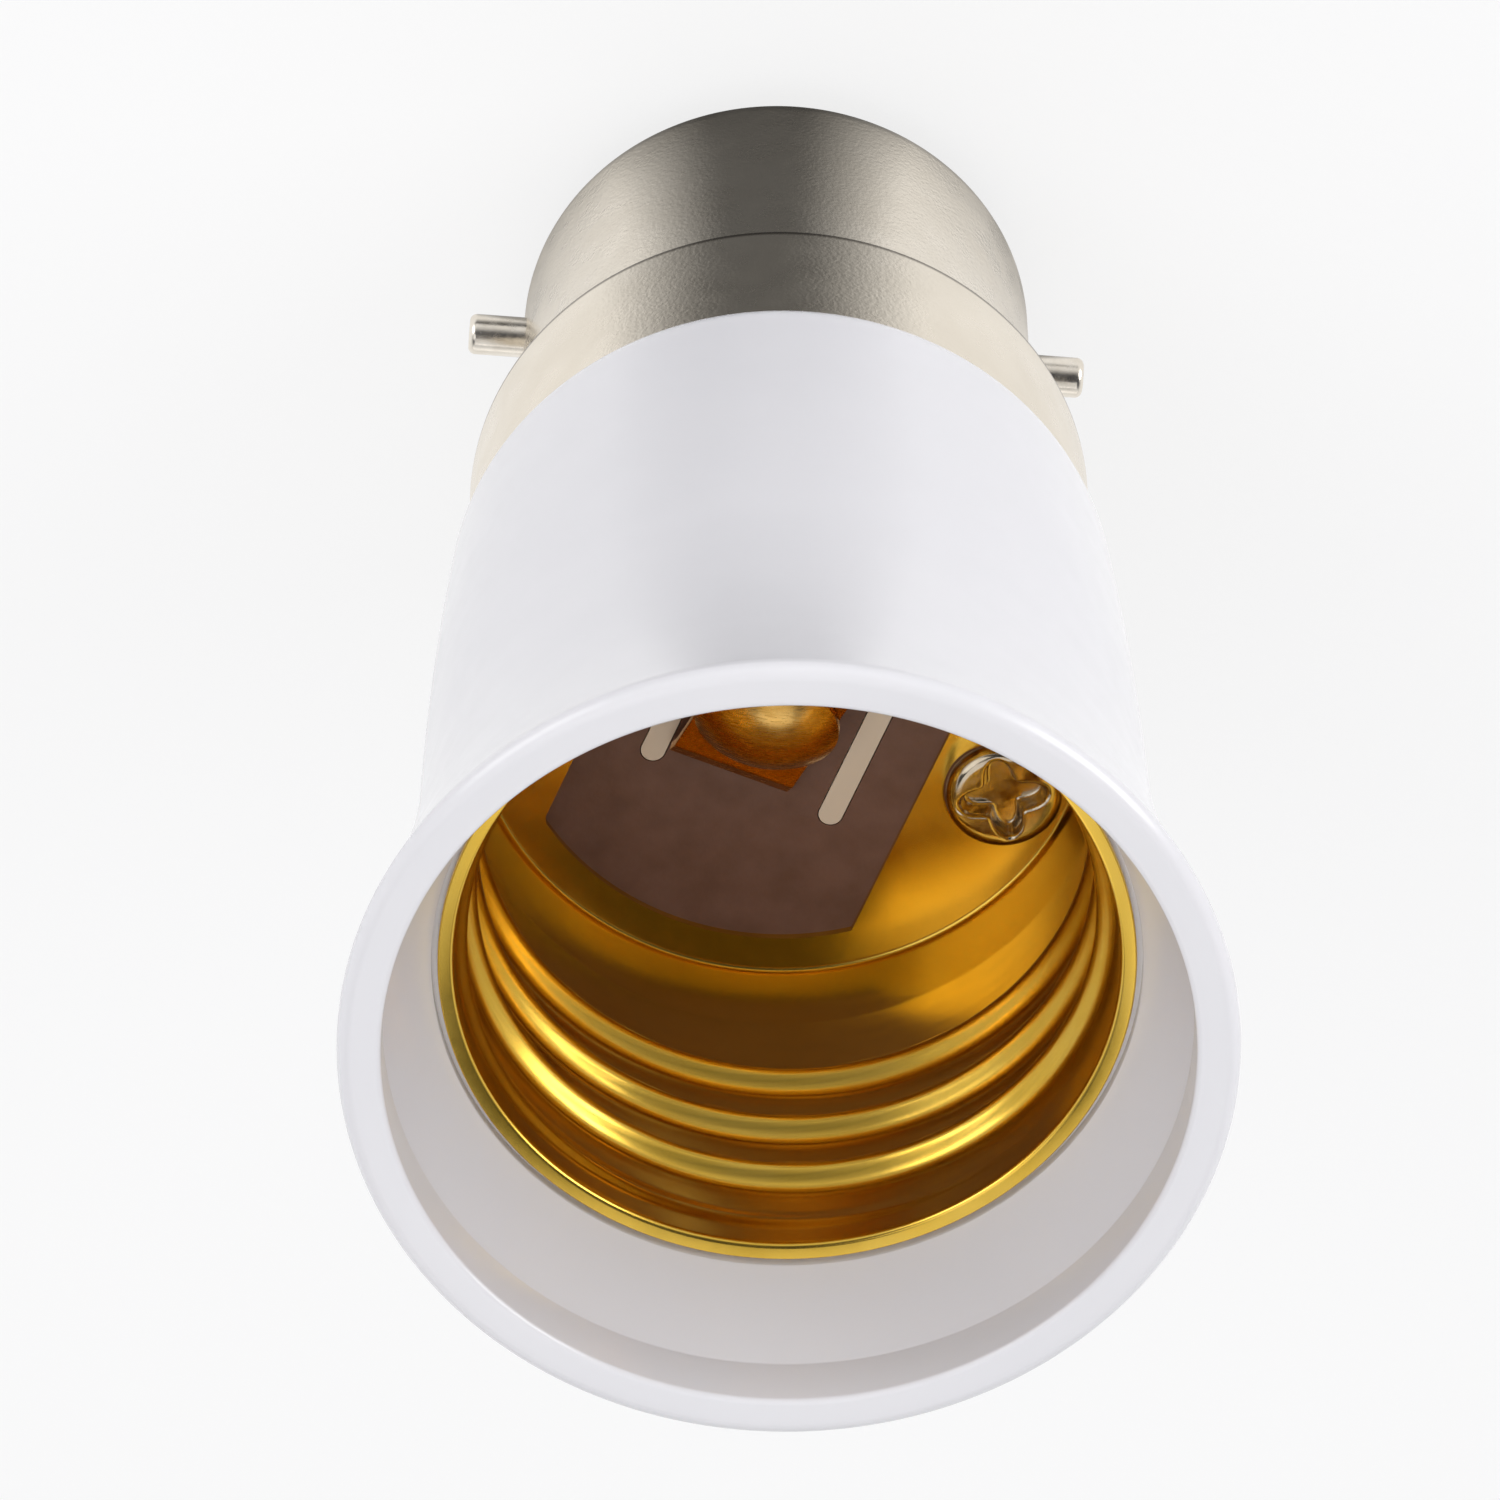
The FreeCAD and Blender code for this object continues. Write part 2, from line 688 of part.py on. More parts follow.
if __name__ == "__main__":
    os.makedirs("parts", exist_ok=True)
    export("bayonet_cap", bayonet_cap())
    export("bayonet_pin_left", bayonet_pin(-1))
    export("bayonet_pin_right", bayonet_pin(1))
    export("cap_insulator", cap_insulator())
    export("end_contact_front", end_contact(-1))
    export("end_contact_back", end_contact(1))
    export("solder_drop_front", solder_drop(-1))
    export("solder_drop_back", solder_drop(1))
    export("sleeve", sleeve())
    export("contact_disc", contact_disc())
    export("screw_shell", screw_shell())
    export("shell_screw_left", shell_screw(-1))
    export("shell_screw_right", shell_screw(1))
    export("contact_foot", contact_foot())
    export("contact_leaf", contact_leaf())
    export("contact_button", contact_button())
    export("contact_rivet", contact_rivet())
    export("shell_tag", shell_tag())
    export("centre_tag", centre_tag())
    export("shell_lead", shell_lead())
    export("centre_lead", centre_lead())
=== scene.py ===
import math

import bpy
import bmesh
from mathutils import Matrix, Vector


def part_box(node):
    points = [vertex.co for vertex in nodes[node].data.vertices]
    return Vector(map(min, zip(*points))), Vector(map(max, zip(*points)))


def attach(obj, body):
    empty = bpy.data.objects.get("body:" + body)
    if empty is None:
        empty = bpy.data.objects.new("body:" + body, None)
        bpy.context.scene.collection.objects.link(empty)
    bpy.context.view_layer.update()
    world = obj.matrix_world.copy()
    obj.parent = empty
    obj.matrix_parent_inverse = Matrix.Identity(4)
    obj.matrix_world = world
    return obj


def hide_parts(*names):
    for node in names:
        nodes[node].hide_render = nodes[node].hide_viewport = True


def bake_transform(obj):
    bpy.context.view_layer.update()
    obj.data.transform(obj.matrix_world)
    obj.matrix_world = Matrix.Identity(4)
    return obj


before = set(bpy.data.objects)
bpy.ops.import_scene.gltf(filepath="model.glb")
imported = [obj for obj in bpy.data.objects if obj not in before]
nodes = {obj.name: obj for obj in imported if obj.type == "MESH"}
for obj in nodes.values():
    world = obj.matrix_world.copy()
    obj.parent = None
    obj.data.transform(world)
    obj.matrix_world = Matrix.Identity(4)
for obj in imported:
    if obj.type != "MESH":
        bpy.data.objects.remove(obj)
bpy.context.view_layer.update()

mm = 0.001

# Studio: a pale floor that the adapter stands on, mouth up, in a white room whose
# ceiling is dim. Broad soft lamps stand behind, above and at both sides, and a
# fill lamp lights the ledge in the mouth without showing in the metal.

floor_size = 3.0
floor_colour = (0.86, 0.86, 0.87, 1)
floor_roughness = 0.9
floor_white_seen = 0.75
floor_glow_reflected = 0.95
shade_heading = (0.174, -0.985, 0)
shade_fan_edge = 0.72
shade_fan_core = 0.975
shade_fan_grey = 0.08
contact_shade_radius = 12 * mm
open_floor_radius = 14.5 * mm
contact_shade = 0.35
room_colour = (0.96, 0.97, 1.0, 1)
horizon_white = (1, 1, 1, 1)
horizon_top = 0.30
ceiling_grey = (0.03, 0.032, 0.04, 1)
ceiling_start = 0.74
room_fill = 0.26
room_reflected = 0.85


def link(name, mesh):
    made = bpy.data.objects.new(name, mesh)
    bpy.context.scene.collection.objects.link(made)
    return made


def wire(tree, source, target):
    """Feed a shader input from a socket, or set it to a plain number."""
    if isinstance(source, (int, float)):
        target.default_value = source
    else:
        tree.links.new(source, target)


def combine(tree, operation, first, second=0.0, third=0.0):
    """Math node in a shader tree; its inputs are sockets or plain numbers."""
    node = tree.nodes.new("ShaderNodeMath")
    node.operation = operation
    for source, target in zip((first, second, third), node.inputs):
        wire(tree, source, target)
    return node.outputs[0]


def bright_surround(tree, plain, glow, output, seen, reflected):
    """Show a plain glow to the camera, and to metal and glass, over a floor or a world."""
    path = tree.nodes.new("ShaderNodeLightPath")
    mirrored = combine(tree, "MAXIMUM", path.outputs["Is Glossy Ray"], path.outputs["Is Transmission Ray"])
    share = combine(tree, "MULTIPLY", path.outputs["Is Camera Ray"], seen)
    share = combine(tree, "MULTIPLY_ADD", mirrored, reflected, share)
    mix = tree.nodes.new("ShaderNodeMixShader")
    tree.links.new(share, mix.inputs[0])
    tree.links.new(plain.outputs[0], mix.inputs[1])
    tree.links.new(glow.outputs[0], mix.inputs[2])
    tree.links.new(mix.outputs[0], output.inputs["Surface"])


half_floor = floor_size / 2
floor_mesh = bpy.data.meshes.new("floor")
floor_mesh.from_pydata([(-half_floor, -half_floor, 0), (half_floor, -half_floor, 0),
                        (half_floor, half_floor, 0), (-half_floor, half_floor, 0)], [], [(0, 1, 2, 3)])
floor_material = bpy.data.materials.new("floor")
floor_material.use_nodes = True
floor_tree = floor_material.node_tree
floor_shader = floor_tree.nodes["Principled BSDF"]
floor_shader.inputs["Base Color"].default_value = floor_colour
floor_shader.inputs["Roughness"].default_value = floor_roughness
floor_glow = floor_tree.nodes.new("ShaderNodeEmission")

# Painted shade, seen only in reflections: what the cap and the sleeve mirror of the floor is darkened in
# front of the adapter, in a fan that is darkest along its heading, whose edge and core are cosines of the
# angle off it, and in a ring close round the adapter's foot.
floor_place = floor_tree.nodes.new("ShaderNodeTexCoord").outputs["Object"]
heading = floor_tree.nodes.new("ShaderNodeVectorMath")
heading.operation = "NORMALIZE"
floor_tree.links.new(floor_place, heading.inputs[0])
forward = floor_tree.nodes.new("ShaderNodeVectorMath")
forward.operation = "DOT_PRODUCT"
forward.inputs[1].default_value = shade_heading
floor_tree.links.new(heading.outputs["Vector"], forward.inputs[0])
fan = floor_tree.nodes.new("ShaderNodeMapRange")
fan.inputs["From Min"].default_value = shade_fan_edge
fan.inputs["From Max"].default_value = shade_fan_core
fan.inputs["To Min"].default_value = 1.0
fan.inputs["To Max"].default_value = shade_fan_grey
floor_tree.links.new(forward.outputs["Value"], fan.inputs["Value"])
distance = floor_tree.nodes.new("ShaderNodeVectorMath")
distance.operation = "LENGTH"
floor_tree.links.new(floor_place, distance.inputs[0])
contact = floor_tree.nodes.new("ShaderNodeMapRange")
contact.interpolation_type = "SMOOTHSTEP"
contact.inputs["From Min"].default_value = contact_shade_radius
contact.inputs["From Max"].default_value = open_floor_radius
contact.inputs["To Min"].default_value = contact_shade
contact.inputs["To Max"].default_value = 1.0
floor_tree.links.new(distance.outputs["Value"], contact.inputs["Value"])
painted_reflected_shade = combine(floor_tree, "MULTIPLY", fan.outputs["Result"], contact.outputs["Result"])
floor_path = floor_tree.nodes.new("ShaderNodeLightPath")
unseen = combine(floor_tree, "SUBTRACT", 1.0, floor_path.outputs["Is Glossy Ray"])
floor_tree.links.new(combine(floor_tree, "MAXIMUM", painted_reflected_shade, unseen), floor_glow.inputs["Strength"])
bright_surround(floor_tree, floor_shader, floor_glow, floor_tree.nodes["Material Output"],
                floor_white_seen, floor_glow_reflected)
floor_mesh.materials.append(floor_material)
link("floor", floor_mesh)

world = bpy.data.worlds.new("studio")
bpy.context.scene.world = world
world.use_nodes = True
room = world.node_tree
room.nodes["Background"].inputs["Color"].default_value = room_colour
room.nodes["Background"].inputs["Strength"].default_value = room_fill
direction = room.nodes.new("ShaderNodeSeparateXYZ")
room.links.new(room.nodes.new("ShaderNodeTexCoord").outputs["Generated"], direction.inputs[0])
wall_to_ceiling = room.nodes.new("ShaderNodeValToRGB")
wall_to_ceiling.color_ramp.elements[0].position = horizon_top
wall_to_ceiling.color_ramp.elements[0].color = horizon_white
wall_to_ceiling.color_ramp.elements[1].position = ceiling_start
wall_to_ceiling.color_ramp.elements[1].color = ceiling_grey
room_path = room.nodes.new("ShaderNodeLightPath")
mirrored = combine(room, "SUBTRACT", 1.0, room_path.outputs["Is Camera Ray"])
room.links.new(combine(room, "MULTIPLY", direction.outputs["Z"], mirrored), wall_to_ceiling.inputs["Fac"])
room_glow = room.nodes.new("ShaderNodeBackground")
room.links.new(wall_to_ceiling.outputs["Color"], room_glow.inputs["Color"])
bright_surround(room, room.nodes["Background"], room_glow, room.nodes["World Output"], 1.0, room_reflected)

lamp_aim = Vector((0, 0, 0.045))


def soft_lamp(name, place, width, height, power):
    """Area lamp turned towards the mouth, in watts and metres, unseen by the camera."""
    light = bpy.data.lights.new(name, "AREA")
    light.shape = "RECTANGLE"
    light.size = width
    light.size_y = height
    light.energy = power
    lamp = link(name, light)
    lamp.location = place
    lamp.rotation_mode = "QUATERNION"
    lamp.rotation_quaternion = (lamp_aim - Vector(place)).to_track_quat("-Z", "Y")
    lamp.visible_camera = False
    return lamp


soft_lamp("back lamp", (0.0, 0.58, 0.48), 0.8, 0.6, 0.8)
soft_lamp("top lamp", (0.0, 0.24, 0.75), 0.5, 0.5, 0.6)
soft_lamp("high lamp", (0.42, -0.12, 0.70), 0.45, 0.45, 0.66)
fill_lamp = soft_lamp("fill lamp", (0.06, -0.20, 0.68), 0.4, 0.4, 1.45)
fill_lamp.visible_glossy = False
soft_lamp("left lamp", (0.46, -0.30, 0.12), 0.3, 0.5, 1.25)
soft_lamp("right lamp", (-0.46, -0.28, 0.14), 0.3, 0.5, 2.05)

# Camera: the photograph's own view, from above on the -Y side and turned half
# round, so that the bayonet cap is at the top of the picture.

camera_place = Vector((0.024585, -0.236708, 0.446110))
camera_right = Vector((-0.99625624, -0.08618844, 0.00671209))
camera_up = Vector((0.07095837, -0.85961607, -0.50598925))
camera_lens = 275.2
film_width = 36
nearest = 0.01
farthest = 20
camera_data = bpy.data.cameras.new("camera")
camera_data.lens = camera_lens
camera_data.sensor_width = film_width
camera_data.clip_start = nearest
camera_data.clip_end = farthest
camera = link("camera", camera_data)
camera_back = camera_right.cross(camera_up)
turn = Matrix((camera_right, camera_up, camera_back)).transposed()
camera.matrix_world = Matrix.Translation(camera_place) @ turn.to_4x4()
bpy.context.scene.camera = camera
bpy.context.scene.view_settings.view_transform = "Standard"

# Bayonet cap: brass sheet drawn into a stepped cup and nickel plated, with a
# satin, faintly pebbled skin. Its skirt grips the sleeve's neck.

cap_sheet = 0.35 * mm
cap_low, cap_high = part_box("bayonet_cap")
skirt_radius = cap_high.x
barrel_radius = 11.0 * mm
opening_radius = 8.8 * mm
shoulder_radius = 2.0 * mm
step_height = cap_low.z + 16.8 * mm
step_round = 0.6 * mm
edge_round = 0.1 * mm
crease = 32


def bend(centre, radius, start, end, steps=8):
    """Points of an arc in the section plane, angles in degrees from the outward radius."""
    spots = []
    for i in range(steps + 1):
        angle = math.radians(start + (end - start) * i / steps)
        spots.append((centre[0] + radius * math.cos(angle), centre[1] + radius * math.sin(angle)))
    return spots


def through(a, middle, b, steps=24):
    """Points of the circular arc through three spots in the section plane."""
    (ax, ay), (bx, by), (cx, cy) = a, middle, b
    d = 2 * (ax * (by - cy) + bx * (cy - ay) + cx * (ay - by))
    aa = ax * ax + ay * ay
    bb = bx * bx + by * by
    cc = cx * cx + cy * cy
    ux = (aa * (by - cy) + bb * (cy - ay) + cc * (ay - by)) / d
    uy = (aa * (cx - bx) + bb * (ax - cx) + cc * (bx - ax)) / d
    first = math.atan2(ay - uy, ax - ux)
    last = math.atan2(cy - uy, cx - ux)
    sweep = (last - first + math.pi) % (2 * math.pi) - math.pi
    radius = math.hypot(ax - ux, ay - uy)
    turns = [first + sweep * i / steps for i in range(steps + 1)]
    return [(ux + radius * math.cos(turn), uy + radius * math.sin(turn)) for turn in turns]


def turned_mesh(name, section, segments=192):
    """Closed section, (radius, height) pairs, turned about Z into a closed mesh."""
    form = bmesh.new()
    rings = []
    for radius, height in section:
        if radius < 1e-7:
            rings.append([form.verts.new((0, 0, height))])
            continue
        ring = []
        for i in range(segments):
            angle = 2 * math.pi * i / segments
            ring.append(form.verts.new((radius * math.cos(angle), radius * math.sin(angle), height)))
        rings.append(ring)
    for here, there in zip(rings, rings[1:] + rings[:1]):
        if len(here) == 1 and len(there) == 1:
            continue
        for i in range(segments):
            j = (i + 1) % segments
            corners = [here[i % len(here)], here[j % len(here)],
                       there[j % len(there)], there[i % len(there)]]
            face = []
            for corner in corners:
                if corner not in face:
                    face.append(corner)
            form.faces.new(face)
    bmesh.ops.recalc_face_normals(form, faces=form.faces)
    mesh = bpy.data.meshes.new(name)
    form.to_mesh(mesh)
    form.free()
    for face in mesh.polygons:
        face.use_smooth = True
    mesh.set_sharp_from_angle(angle=math.radians(crease))
    return mesh


def dressed(piece, material, body, slot, *replaced):
    """Give a finished piece its material, its body and the CAD nodes it stands for."""
    piece.data.materials.clear()
    piece.data.materials.append(material)
    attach(piece, body)
    if replaced:
        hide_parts(*replaced)
    return piece


def finish(name, colour, metallic, roughness):
    """A material with its shader, and a coordinate node for what is drawn on it."""
    material = bpy.data.materials.new(name)
    material.use_nodes = True
    shader = material.node_tree.nodes["Principled BSDF"]
    shader.inputs["Base Color"].default_value = (*colour, 1)
    shader.inputs["Metallic"].default_value = metallic
    shader.inputs["Roughness"].default_value = roughness
    coordinates = material.node_tree.nodes.new("ShaderNodeTexCoord")
    coordinates.name = "place"
    return material


def noise(material, grain, detail=3.0, stretch=(1, 1, 1)):
    """Noise with features of about `grain` metres, on the piece's own coordinates."""
    tree = material.node_tree
    mapping = tree.nodes.new("ShaderNodeMapping")
    mapping.inputs["Scale"].default_value = [s / grain for s in stretch]
    texture = tree.nodes.new("ShaderNodeTexNoise")
    texture.inputs["Scale"].default_value = 1.0
    texture.inputs["Detail"].default_value = detail
    tree.links.new(tree.nodes["place"].outputs["Object"], mapping.inputs["Vector"])
    tree.links.new(mapping.outputs["Vector"], texture.inputs["Vector"])
    return texture.outputs["Fac"]


def spread(material, value, low, high, socket):
    """Map a 0..1 value onto low..high and feed it to one of the shader's sockets."""
    tree = material.node_tree
    mapped = tree.nodes.new("ShaderNodeMapRange")
    mapped.inputs["From Min"].default_value = 0.3
    mapped.inputs["From Max"].default_value = 0.7
    mapped.inputs["To Min"].default_value = low
    mapped.inputs["To Max"].default_value = high
    tree.links.new(value, mapped.inputs["Value"])
    tree.links.new(mapped.outputs["Result"], tree.nodes["Principled BSDF"].inputs[socket])


def tint(material, value, low_colour, high_colour):
    """Blend the base colour between two tones by a 0..1 value."""
    tree = material.node_tree
    ramp = tree.nodes.new("ShaderNodeValToRGB")
    ramp.color_ramp.elements[0].position = 0.3
    ramp.color_ramp.elements[0].color = (*low_colour, 1)
    ramp.color_ramp.elements[1].position = 0.7
    ramp.color_ramp.elements[1].color = (*high_colour, 1)
    tree.links.new(value, ramp.inputs["Fac"])
    tree.links.new(ramp.outputs["Color"], tree.nodes["Principled BSDF"].inputs["Base Color"])


def relief(material, value, height):
    """Raise the surface by up to `height` metres where the value is high."""
    tree = material.node_tree
    bump = tree.nodes.new("ShaderNodeBump")
    bump.inputs["Strength"].default_value = 1.0
    bump.inputs["Distance"].default_value = height
    shader = tree.nodes["Principled BSDF"]
    earlier = shader.inputs["Normal"].links
    if earlier:
        tree.links.new(earlier[0].from_socket, bump.inputs["Normal"])
    tree.links.new(value, bump.inputs["Height"])
    tree.links.new(bump.outputs["Normal"], shader.inputs["Normal"])


def cast(material, share, colour):
    """Multiply the base colour by another one where a 0..1 share is high."""
    tree = material.node_tree
    mix = tree.nodes.new("ShaderNodeMix")
    mix.data_type = "RGBA"
    mix.blend_type = "MULTIPLY"
    mix.inputs["B"].default_value = (*colour, 1)
    base = tree.nodes["Principled BSDF"].inputs["Base Color"]
    tree.links.new(share, mix.inputs["Factor"])
    tree.links.new(base.links[0].from_socket, mix.inputs["A"])
    tree.links.new(mix.outputs["Result"], base)


shoulder_centre = (barrel_radius - shoulder_radius, cap_low.z + shoulder_radius)
step_centre = (skirt_radius - step_round, step_height + step_round)
cap_section = (
    bend((opening_radius + edge_round, cap_low.z + edge_round), edge_round, 180, 270, 4)
    + bend(shoulder_centre, shoulder_radius, -90, 0, 16)
    + bend((barrel_radius + edge_round, step_height - edge_round), edge_round, 180, 90, 4)
    + bend(step_centre, step_round, -90, 0, 10)
    + bend((skirt_radius - edge_round, cap_high.z - edge_round), edge_round, 0, 90, 4)
    + [(skirt_radius - cap_sheet, cap_high.z)]
    + bend(step_centre, step_round - cap_sheet, 0, -90, 4)
    + [(barrel_radius - cap_sheet, step_height + cap_sheet)]
    + bend(shoulder_centre, shoulder_radius - cap_sheet, 0, -90, 8)
    + [(opening_radius, cap_low.z + cap_sheet)]
)
satin_nickel = finish("satin_nickel", (0.82, 0.75, 0.64), 1.0, 0.3)
spread(satin_nickel, noise(satin_nickel, 1.6 * mm), 0.25, 0.33, "Roughness")
tint(satin_nickel, noise(satin_nickel, 4 * mm), (0.79, 0.72, 0.61), (0.85, 0.78, 0.67))
relief(satin_nickel, noise(satin_nickel, 0.19 * mm, 2.0), 0.02 * mm)

# Painted shade: the cap is darkened in thin lines at its two drawn edges, at the step and under the
# sleeve's edge.
edge_shade_reach = 0.36 * mm
edge_shade_colour = (0.22, 0.2, 0.18)
edge_shade_depth = 2.0
edge_shade_softness = 0.3
step_shade_line = 0.38 * mm
nickel_tree = satin_nickel.node_tree
nickel_place = nickel_tree.nodes.new("ShaderNodeSeparateXYZ")
nickel_tree.links.new(nickel_tree.nodes["place"].outputs["Object"], nickel_place.inputs[0])
for edge_height in (step_height + step_shade_line, cap_high.z):
    off_edge = combine(nickel_tree, "SUBTRACT", nickel_place.outputs["Z"], edge_height)
    near_edge = combine(nickel_tree, "DIVIDE", combine(nickel_tree, "ABSOLUTE", off_edge), edge_shade_reach)
    painted_edge_shade = combine(nickel_tree, "SUBTRACT", 1.0, combine(nickel_tree, "MINIMUM", near_edge, 1.0))
    deepened = combine(nickel_tree, "MULTIPLY", painted_edge_shade, edge_shade_depth)
    cast(satin_nickel, combine(nickel_tree, "SMOOTH_MIN", deepened, 1.0, edge_shade_softness), edge_shade_colour)

cap = link("cap_shell", turned_mesh("cap_shell", cap_section))
dressed(cap, satin_nickel, "adapter", "bayonet_cap", "bayonet_cap")

# Bayonet pins: short turned studs, nickel plated bright, pushed out through
# the barrel and headed over inside. Their tips are rounded off.

pin_radius = 0.88 * mm
pin_tip_round = 0.32 * mm
pin_tip_sweep = 72
pin_head_thickness = 0.6 * mm
pin_low, pin_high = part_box("bayonet_pin_right")
pin_axis_height = (pin_low.z + pin_high.z) / 2
pin_head_radius = (pin_high.z - pin_low.z) / 2
pin_head_end = pin_low.x + pin_head_thickness
pin_section = (
    [(0, pin_low.x), (pin_head_radius, pin_low.x), (pin_head_radius, pin_head_end),
     (pin_radius, pin_head_end)]
    + bend((pin_radius - pin_tip_round, pin_high.x - pin_tip_round), pin_tip_round, 0, pin_tip_sweep, 6)
    + [(0, pin_high.x)]
)
bright_nickel = finish("bright_nickel", (0.80, 0.74, 0.65), 1.0, 0.2)
spread(bright_nickel, noise(bright_nickel, 0.5 * mm), 0.16, 0.28, "Roughness")
tint(bright_nickel, noise(bright_nickel, 0.9 * mm), (0.74, 0.675, 0.58), (0.84, 0.785, 0.70))
relief(bright_nickel, noise(bright_nickel, 0.35 * mm), 0.006 * mm)
for side, name in ((1, "bayonet_pin_right"), (-1, "bayonet_pin_left")):
    pin_mesh = turned_mesh(name + "_stud", pin_section, 48)
    laid = Matrix.Rotation(side * math.pi / 2, 4, "Y")
    pin_mesh.transform(Matrix.Translation((0, 0, pin_axis_height)) @ laid)
    dressed(link(name + "_stud", pin_mesh), bright_nickel, "adapter", name, name)

# Cap insulator: black glass pressed in molten, so its face is a low glossy
# cone with soft edges. It fills the cap's open end.

glass_low, glass_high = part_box("cap_insulator")
glass_face_radius = 7.6 * mm
glass_round = 0.5 * mm
glass_shoulder = 2 * mm
glass_play = 0.05 * mm
throat_radius = opening_radius - glass_play
glass_section = (
    [(0, glass_low.z)]
    + bend((glass_face_radius - glass_round, glass_low.z + glass_round), glass_round, -90, -50, 6)
    + [(throat_radius, cap_low.z), (throat_radius, cap_low.z + cap_sheet),
       (glass_high.x, cap_low.z + glass_shoulder), (glass_high.x, glass_high.z), (0, glass_high.z)]
)
black_glass = finish("black_glass", (0.012, 0.012, 0.014), 0.0, 0.12)
spread(black_glass, noise(black_glass, 2.5 * mm), 0.06, 0.2, "Roughness")
tint(black_glass, noise(black_glass, 1.2 * mm), (0.008, 0.008, 0.01), (0.03, 0.03, 0.034))
relief(black_glass, noise(black_glass, 1.8 * mm, 2.0), 0.08 * mm)
glass = link("glass_plug", turned_mesh("glass_plug", glass_section, 128))
dressed(glass, black_glass, "adapter", "cap_insulator", "cap_insulator")

# End contacts: brass eyelets through the glass, each closed by a drop of
# solder that is dressed flat on top.

contact_plate_radius = 2.3 * mm
contact_shank_radius = 1.35 * mm
plate_round = 0.12 * mm
solder_radius = 1.9 * mm
solder_flat_radius = 1.15 * mm
solder_bulge = 0.12 * mm
contact_brass = finish("contact_brass", (0.78, 0.58, 0.27), 1.0, 0.3)
spread(contact_brass, noise(contact_brass, 0.4 * mm), 0.22, 0.42, "Roughness")
tint(contact_brass, noise(contact_brass, 0.8 * mm), (0.62, 0.43, 0.18), (0.82, 0.63, 0.32))
relief(contact_brass, noise(contact_brass, 0.12 * mm), 0.006 * mm)
solder = finish("solder", (0.60, 0.60, 0.61), 1.0, 0.35)
spread(solder, noise(solder, 0.35 * mm), 0.25, 0.5, "Roughness")
tint(solder, noise(solder, 0.6 * mm), (0.48, 0.48, 0.50), (0.68, 0.68, 0.69))
relief(solder, noise(solder, 0.5 * mm), 0.05 * mm)
for side, word in ((1, "back"), (-1, "front")):
    contact_low, contact_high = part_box("end_contact_" + word)
    drop_low, drop_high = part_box("solder_drop_" + word)
    across = (contact_low.y + contact_high.y) / 2
    plate_top = glass_low.z
    contact_section = (
        [(0, contact_low.z)]
        + bend((contact_plate_radius - plate_round, contact_low.z + plate_round), plate_round, -90, 0, 4)
        + [(contact_plate_radius, plate_top), (contact_shank_radius, plate_top),
           (contact_shank_radius, contact_high.z), (0, contact_high.z)]
    )
    contact_mesh = turned_mesh("eyelet_" + word, contact_section, 64)
    contact_mesh.transform(Matrix.Translation((0, across, 0)))
    eyelet = link("eyelet_" + word, contact_mesh)
    dressed(eyelet, contact_brass, "adapter", "end_contact_" + word, "end_contact_" + word)
    middle = ((solder_flat_radius + solder_radius) / 2 + solder_bulge,
              (drop_low.z + drop_high.z) / 2 - solder_bulge)
    drop_section = (
        [(0, drop_low.z)]
        + through((solder_flat_radius, drop_low.z), middle, (solder_radius, drop_high.z), 10)
        + [(0, drop_high.z)]
    )
    drop_mesh = turned_mesh("solder_" + word, drop_section, 64)
    drop_mesh.transform(Matrix.Translation((0, across, 0)))
    drop = link("solder_" + word, drop_mesh)
    dressed(drop, solder, "adapter", "solder_drop_" + word, "solder_drop_" + word)

# Sleeve: one glossy white moulding. A waisted barrel flares to the mouth; the
# mouth has a short bore and a conical ledge down to the screw shell's lip.

sleeve_low, sleeve_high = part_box("sleeve")
shell_low, shell_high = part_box("screw_shell")
disc_low, disc_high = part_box("contact_disc")
seat = cap_high.z
mouth_radius = sleeve_high.x
rim_round = 0.6 * mm
rim_inner_round = 0.25 * mm
mouth_bore_radius = 16.0 * mm
mouth_bore_depth = 2.6 * mm
ledge_round = 0.3 * mm
ledge_foot_radius = 14.15 * mm
ledge_foot_round = 0.1 * mm
shoulder_foot = (13.6 * mm, seat)
shoulder_top = (13.92 * mm, seat + 1.0 * mm)
flare_foot = (14.85 * mm, sleeve_high.z - rim_round - 17.0 * mm)
flare_top = (mouth_radius, sleeve_high.z - rim_round)
shoulder_crown = 0.08 * mm
barrel_crown = 0.15 * mm
flare_hollow = 0.57 * mm
lip_seat_depth = 0.55 * mm
lip_seat = shell_high.z - lip_seat_depth
neck_play = 0.05 * mm
neck_wall = 1.6 * mm
neck_radius = skirt_radius - cap_sheet - neck_play
cavity_radius = neck_radius - neck_wall
web_thickness = 2.5 * mm
disc_play = 0.1 * mm
shell_clearance_radius = disc_high.x + disc_play


def halfway(a, b, aside):
    """Point halfway between two spots of a section, moved outwards by `aside`."""
    return ((a[0] + b[0]) / 2 + aside, (a[1] + b[1]) / 2)


